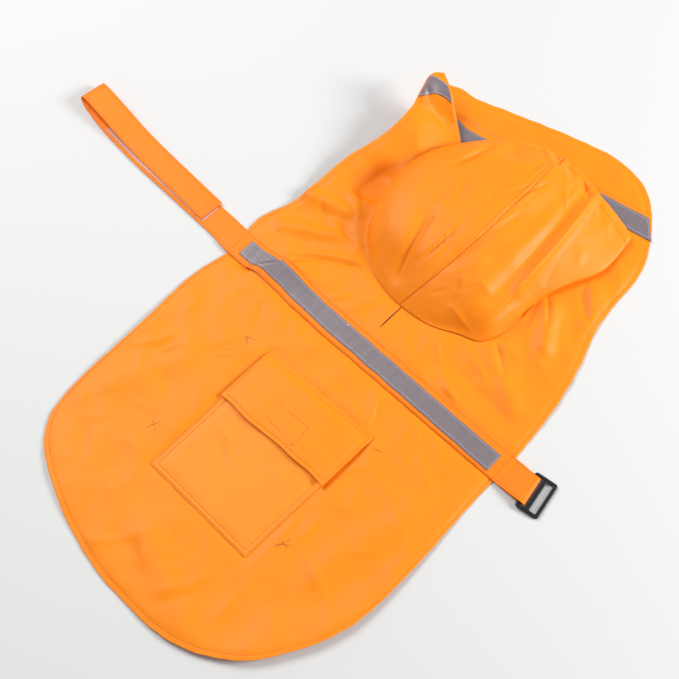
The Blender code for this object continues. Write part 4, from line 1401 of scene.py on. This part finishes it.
def make_straps():
    """The long strap with its fastener and the short strap that holds the buckle, with their stitches."""
    cloth = finish("coat_strap")
    steps, short_steps = LONG_STRAP_STEPS, SHORT_STRAP_STEPS
    long_strap, on_long, length = strap_sheet("long_strap", BELLY_STRAP, steps, cloth)
    stands_for(long_strap, "belly_strap")
    short_strap, on_short, short_length = strap_sheet("short_strap", BUCKLE_STRAP, short_steps, cloth)
    stands_for(short_strap, "buckle_strap")

    def strip(u, v):
        x, y = between(FASTENER_LINE, u * (len(FASTENER_LINE) - 1))
        return frame_point(x, y + (v - 0.5) * FASTENER_WIDTH, CLOTH + GAP + TAPE_THICK)

    across, lengthwise = stations(FASTENER_LENGTH, PILE_GRID[0]), stations(FASTENER_WIDTH, PILE_GRID[1])
    pile = sheet("fastener", across, lengthwise, strip, -TAPE_THICK, finish("coat_pile"))
    stands_for(pile, "strap_fastener")

    edge = 0.5 - STRAP_SEAM / BELLY_STRAP[-1].width
    bare = round(STRAP_BARE / length * steps)
    folded = round(FOLDED_SHARE * steps)
    over = CLOTH + SEAM_THREAD_LIFT
    rows = []
    for side in (-edge, edge):
        rows.append([on_long(i, side, over) for i in range(3, bare)])
        rows.append([on_long(i, side, -SEAM_THREAD_LIFT) for i in range(folded, steps - 3)])
    sides = [s * edge / 8 for s in range(-8, 9)]
    for back in STRAP_END_ROWS:
        step = steps - round(back / length * steps)
        rows.append([on_long(step, side, -THREAD_LIFT) for side in sides])
    turned = round(TURNED_SHARE * short_steps)
    for side in (-edge, edge):
        rows.append([on_short(i, side, over) for i in range(2, turned)])
    step = round(SHORT_STRAP_ROW / short_length * short_steps)
    rows.append([on_short(step, side, CLOTH + THREAD_LIFT) for side in sides])
    sew("strap_stitches", rows, finish("coat_thread"))


def make_buckle():
    """The three-bar slider: a grid of bars and slots, thickened and rounded."""
    made = bmesh.new()
    columns, rows = len(BUCKLE_LINES_X) - 1, len(BUCKLE_LINES_Y) - 1
    bmesh.ops.create_grid(made, x_segments=columns, y_segments=rows, size=1.0)
    cells = {}
    for face in made.faces:
        middle = face.calc_center_median()
        cells[int((middle.x + 1) / 2 * columns), int((middle.y + 1) / 2 * rows)] = face
    for vert in made.verts:
        column = round((vert.co.x + 1) / 2 * columns)
        row = round((vert.co.y + 1) / 2 * rows)
        vert.co = Vector((BUCKLE_LINES_X[column], BUCKLE_LINES_Y[row], -BUCKLE_THICK / 2)) * MM
    slots = [cells[column, 1] for column in BUCKLE_SLOT_COLUMNS]
    bmesh.ops.delete(made, geom=slots, context="FACES")
    raised = bmesh.ops.extrude_face_region(made, geom=made.faces[:])
    tops = [item for item in raised["geom"] if isinstance(item, bmesh.types.BMVert)]
    bmesh.ops.translate(made, vec=UP * BUCKLE_THICK * MM, verts=tops)
    bmesh.ops.recalc_face_normals(made, faces=made.faces)

    def upright(edge):
        return abs(edge.verts[0].co.z - edge.verts[1].co.z) > BUCKLE_THICK * MM / 2

    def outer(edge):
        place = edge.verts[0].co.xy / MM
        frames = (BUCKLE_LINES_X, BUCKLE_LINES_Y)
        return all(min(abs(at - lines[0]), abs(at - lines[-1])) < 0.01 for at, lines in zip(place, frames))

    def round_off(edges, radius, segments):
        offset = radius * MM
        bmesh.ops.bevel(
            made, geom=edges, offset=offset, segments=segments, affect="EDGES", profile=0.5, material=-1
        )

    for group, radius, segments in ((True, BUCKLE_CORNER, 7), (False, BUCKLE_SLOT_CORNER, 4)):
        corners = [e for e in made.edges if upright(e) and outer(e) == group and e.calc_face_angle(0) > 0.5]
        round_off(corners, radius, segments)
    rims = [e for e in made.edges if not upright(e) and e.calc_face_angle(0) > 0.8]
    round_off(rims, BUCKLE_ROUNDING, 3)
    turned = Matrix.Rotation(radians(BUCKLE_TURN), 4, "Z") @ Matrix.Rotation(radians(BUCKLE_TILT), 4, "Y")
    placed = Matrix.Translation(frame_point(*BUCKLE_MIDDLE)) @ turned
    bmesh.ops.transform(made, matrix=placed, verts=made.verts)
    buckle = add_piece("buckle", made, finish("coat_buckle"))
    buckle.data.set_sharp_from_angle(angle=radians(50))
    stands_for(buckle, "slider_buckle")


CAMERA_PLACE = (437.0, -208.0, 1443.0)
CAMERA_HEADING = (-0.7031, 0.7111)
CAMERA_TILT = 25.0
CAMERA_LENS = 68.93
Lamp = namedtuple("Lamp", "x y z size watts aim_x aim_y")
LAMPS = (
    Lamp(2100, 1600, 1250, 900, 80, 0, 0),
    Lamp(-1500, 0, 1900, 1300, 42, -100, 0),
)
WORLD_LIGHT = 0.36
FLOOR_DEPTH = 0.3  # the floor lies this far below the frame's ground, clear of the hem's lowest points
FLOOR_HALF = 3.5


def make_stage(context):
    """The floor, the lamps, the world's even light and the camera."""
    made = bmesh.new()
    bmesh.ops.create_grid(made, x_segments=8, y_segments=8, size=FLOOR_HALF)
    bmesh.ops.translate(made, vec=-UP * FLOOR_DEPTH * MM, verts=made.verts)
    floor = add_piece("floor", made, finish("coat_floor"))
    for lamp in LAMPS:
        light = bpy.data.lights.new("lamp", "AREA")
        light.energy, light.size = lamp.watts, lamp.size * MM
        placed = bpy.data.objects.new("lamp", light)
        placed.location = Vector((lamp.x, lamp.y, lamp.z)) * MM
        aim = Vector((lamp.aim_x, lamp.aim_y, 0)) * MM - placed.location
        placed.rotation_euler = aim.to_track_quat("-Z", "Y").to_euler()
        context.scene.collection.objects.link(placed)
    world = bpy.data.worlds.new("studio")
    world.use_nodes = True
    world.node_tree.nodes["Background"].inputs["Color"].default_value = (1, 1, 1, 1)
    world.node_tree.nodes["Background"].inputs["Strength"].default_value = WORLD_LIGHT
    context.scene.world = world
    context.scene.view_settings.view_transform = "Standard"
    heading = Vector((*CAMERA_HEADING, 0)).normalized()
    ahead = heading * sin(radians(CAMERA_TILT)) - UP * cos(radians(CAMERA_TILT))
    side = heading.cross(UP)
    lens = bpy.data.cameras.new("camera")
    lens.lens, lens.sensor_width = CAMERA_LENS, 36
    camera = bpy.data.objects.new("camera", lens)
    turned = Matrix((side, side.cross(ahead), -ahead)).transposed().to_4x4()
    camera.matrix_world = Matrix.Translation(frame_point(*CAMERA_PLACE)) @ turned
    context.scene.collection.objects.link(camera)
    context.scene.camera = camera


# ---- Add-on ----


class RaincoatSizes(PropertyGroup):
    """Sizes of the fine detail."""

    stitch_pitch: FloatProperty(
        name="Stitch pitch", description="Length of a stitch with its gap", default=0.003, unit="LENGTH"
    )
    yarn_pitch: FloatProperty(
        name="Yarn pitch", description="Distance between yarns of the weave", default=0.00042, unit="LENGTH"
    )


def colour_property(name, description, default):
    return FloatVectorProperty(
        name=name, description=description, default=default, subtype="COLOR", size=3, min=0.0, max=1.0
    )


class RaincoatColours(PropertyGroup):
    """Colours of the finishes."""

    shell: colour_property("Shell", "Coated cloth of the cape, hood and flap", (1.0, 0.258, 0.005))
    # The pocket patch is the same coated cloth as the shell; its lighter tint is painted sheen.
    pocket: colour_property("Pocket", "Coated cloth of the pocket patch", (1.0, 0.280, 0.018))
    strap: colour_property("Strap", "Coated cloth of the band and straps", (1.0, 0.225, 0.005))
    thread: colour_property("Thread", "Sewing thread of the coat", (0.60, 0.10, 0.007))
    # The pocket's dark sewing thread, darkened past its own colour as painted shade for the shadowed gaps
    # along the pocket's edges; the leg loop tacks use it too.
    pocket_thread_painted_shade: colour_property("Pocket thread", "Sewing thread of the pocket", (0.30, 0.045, 0.006))
    tape: colour_property("Tape", "Reflective tape", (0.205, 0.175, 0.19))
    tape_thread: colour_property("Tape thread", "Sewing thread of the tapes", (0.62, 0.58, 0.70))
    pile: colour_property("Fastener", "Hook-and-loop strip", (0.80, 0.42, 0.33))
    buckle: colour_property("Buckle", "Slider buckle", (0.008, 0.008, 0.009))
    floor: colour_property("Floor", "Studio floor", (0.70, 0.70, 0.695))


class RAINCOAT_OT_stage(Operator):
    """Set up the floor, lamps and camera"""

    bl_idname = "raincoat.stage"
    bl_label = "Studio"

    def execute(self, context):
        make_stage(context)
        return {"FINISHED"}


class RAINCOAT_OT_cape(Operator):
    """Lay out the cape with its hem and leash slit"""

    bl_idname = "raincoat.cape"
    bl_label = "Cape"

    def execute(self, context):
        make_cape()
        return {"FINISHED"}


class RAINCOAT_OT_hood(Operator):
    """Shape both halves of the hood"""

    bl_idname = "raincoat.hood"
    bl_label = "Hood"

    def execute(self, context):
        make_hood()
        return {"FINISHED"}


class RAINCOAT_OT_pocket(Operator):
    """Sew the patch pocket and its flap"""

    bl_idname = "raincoat.pocket"
    bl_label = "Pocket"

    def execute(self, context):
        make_pocket()
        return {"FINISHED"}


class RAINCOAT_OT_belt(Operator):
    """Sew the belt band and its reflective tape"""

    bl_idname = "raincoat.belt"
    bl_label = "Belt band"

    def execute(self, context):
        make_belt()
        return {"FINISHED"}


class RAINCOAT_OT_chest_tapes(Operator):
    """Sew the reflective tapes on the chest halves"""

    bl_idname = "raincoat.chest_tapes"
    bl_label = "Chest tapes"

    def execute(self, context):
        make_chest_tapes()
        return {"FINISHED"}


class RAINCOAT_OT_straps(Operator):
    """Lay the long strap and the buckle's short strap"""

    bl_idname = "raincoat.straps"
    bl_label = "Straps"

    def execute(self, context):
        make_straps()
        return {"FINISHED"}


class RAINCOAT_OT_buckle(Operator):
    """Mould the slider buckle"""

    bl_idname = "raincoat.buckle"
    bl_label = "Slider buckle"

    def execute(self, context):
        make_buckle()
        return {"FINISHED"}


STEPS = (
    RAINCOAT_OT_stage,
    RAINCOAT_OT_cape,
    RAINCOAT_OT_hood,
    RAINCOAT_OT_pocket,
    RAINCOAT_OT_belt,
    RAINCOAT_OT_chest_tapes,
    RAINCOAT_OT_straps,
    RAINCOAT_OT_buckle,
)


class RAINCOAT_PT_panel(Panel):
    """Lists the steps that build the raincoat"""

    bl_label = "Raincoat"
    bl_space_type = "VIEW_3D"
    bl_region_type = "UI"
    bl_category = "Raincoat"

    def draw(self, context):
        layout = self.layout
        for group in (context.scene.raincoat_sizes, context.scene.raincoat_colours):
            box = layout.box()
            for name in group.__annotations__:
                box.prop(group, name)
        for step in STEPS:
            layout.operator(step.bl_idname)


CLASSES = (RaincoatSizes, RaincoatColours, *STEPS, RAINCOAT_PT_panel)


def register():
    for cls in CLASSES:
        bpy.utils.register_class(cls)
    bpy.types.Scene.raincoat_sizes = PointerProperty(type=RaincoatSizes)
    bpy.types.Scene.raincoat_colours = PointerProperty(type=RaincoatColours)


def unregister():
    del bpy.types.Scene.raincoat_colours
    del bpy.types.Scene.raincoat_sizes
    for cls in reversed(CLASSES):
        bpy.utils.unregister_class(cls)


def main():
    register()
    bpy.ops.raincoat.stage()
    bpy.ops.raincoat.cape()
    bpy.ops.raincoat.hood()
    bpy.ops.raincoat.pocket()
    bpy.ops.raincoat.belt()
    bpy.ops.raincoat.chest_tapes()
    bpy.ops.raincoat.straps()
    bpy.ops.raincoat.buckle()


if __name__ == "__main__":
    main()
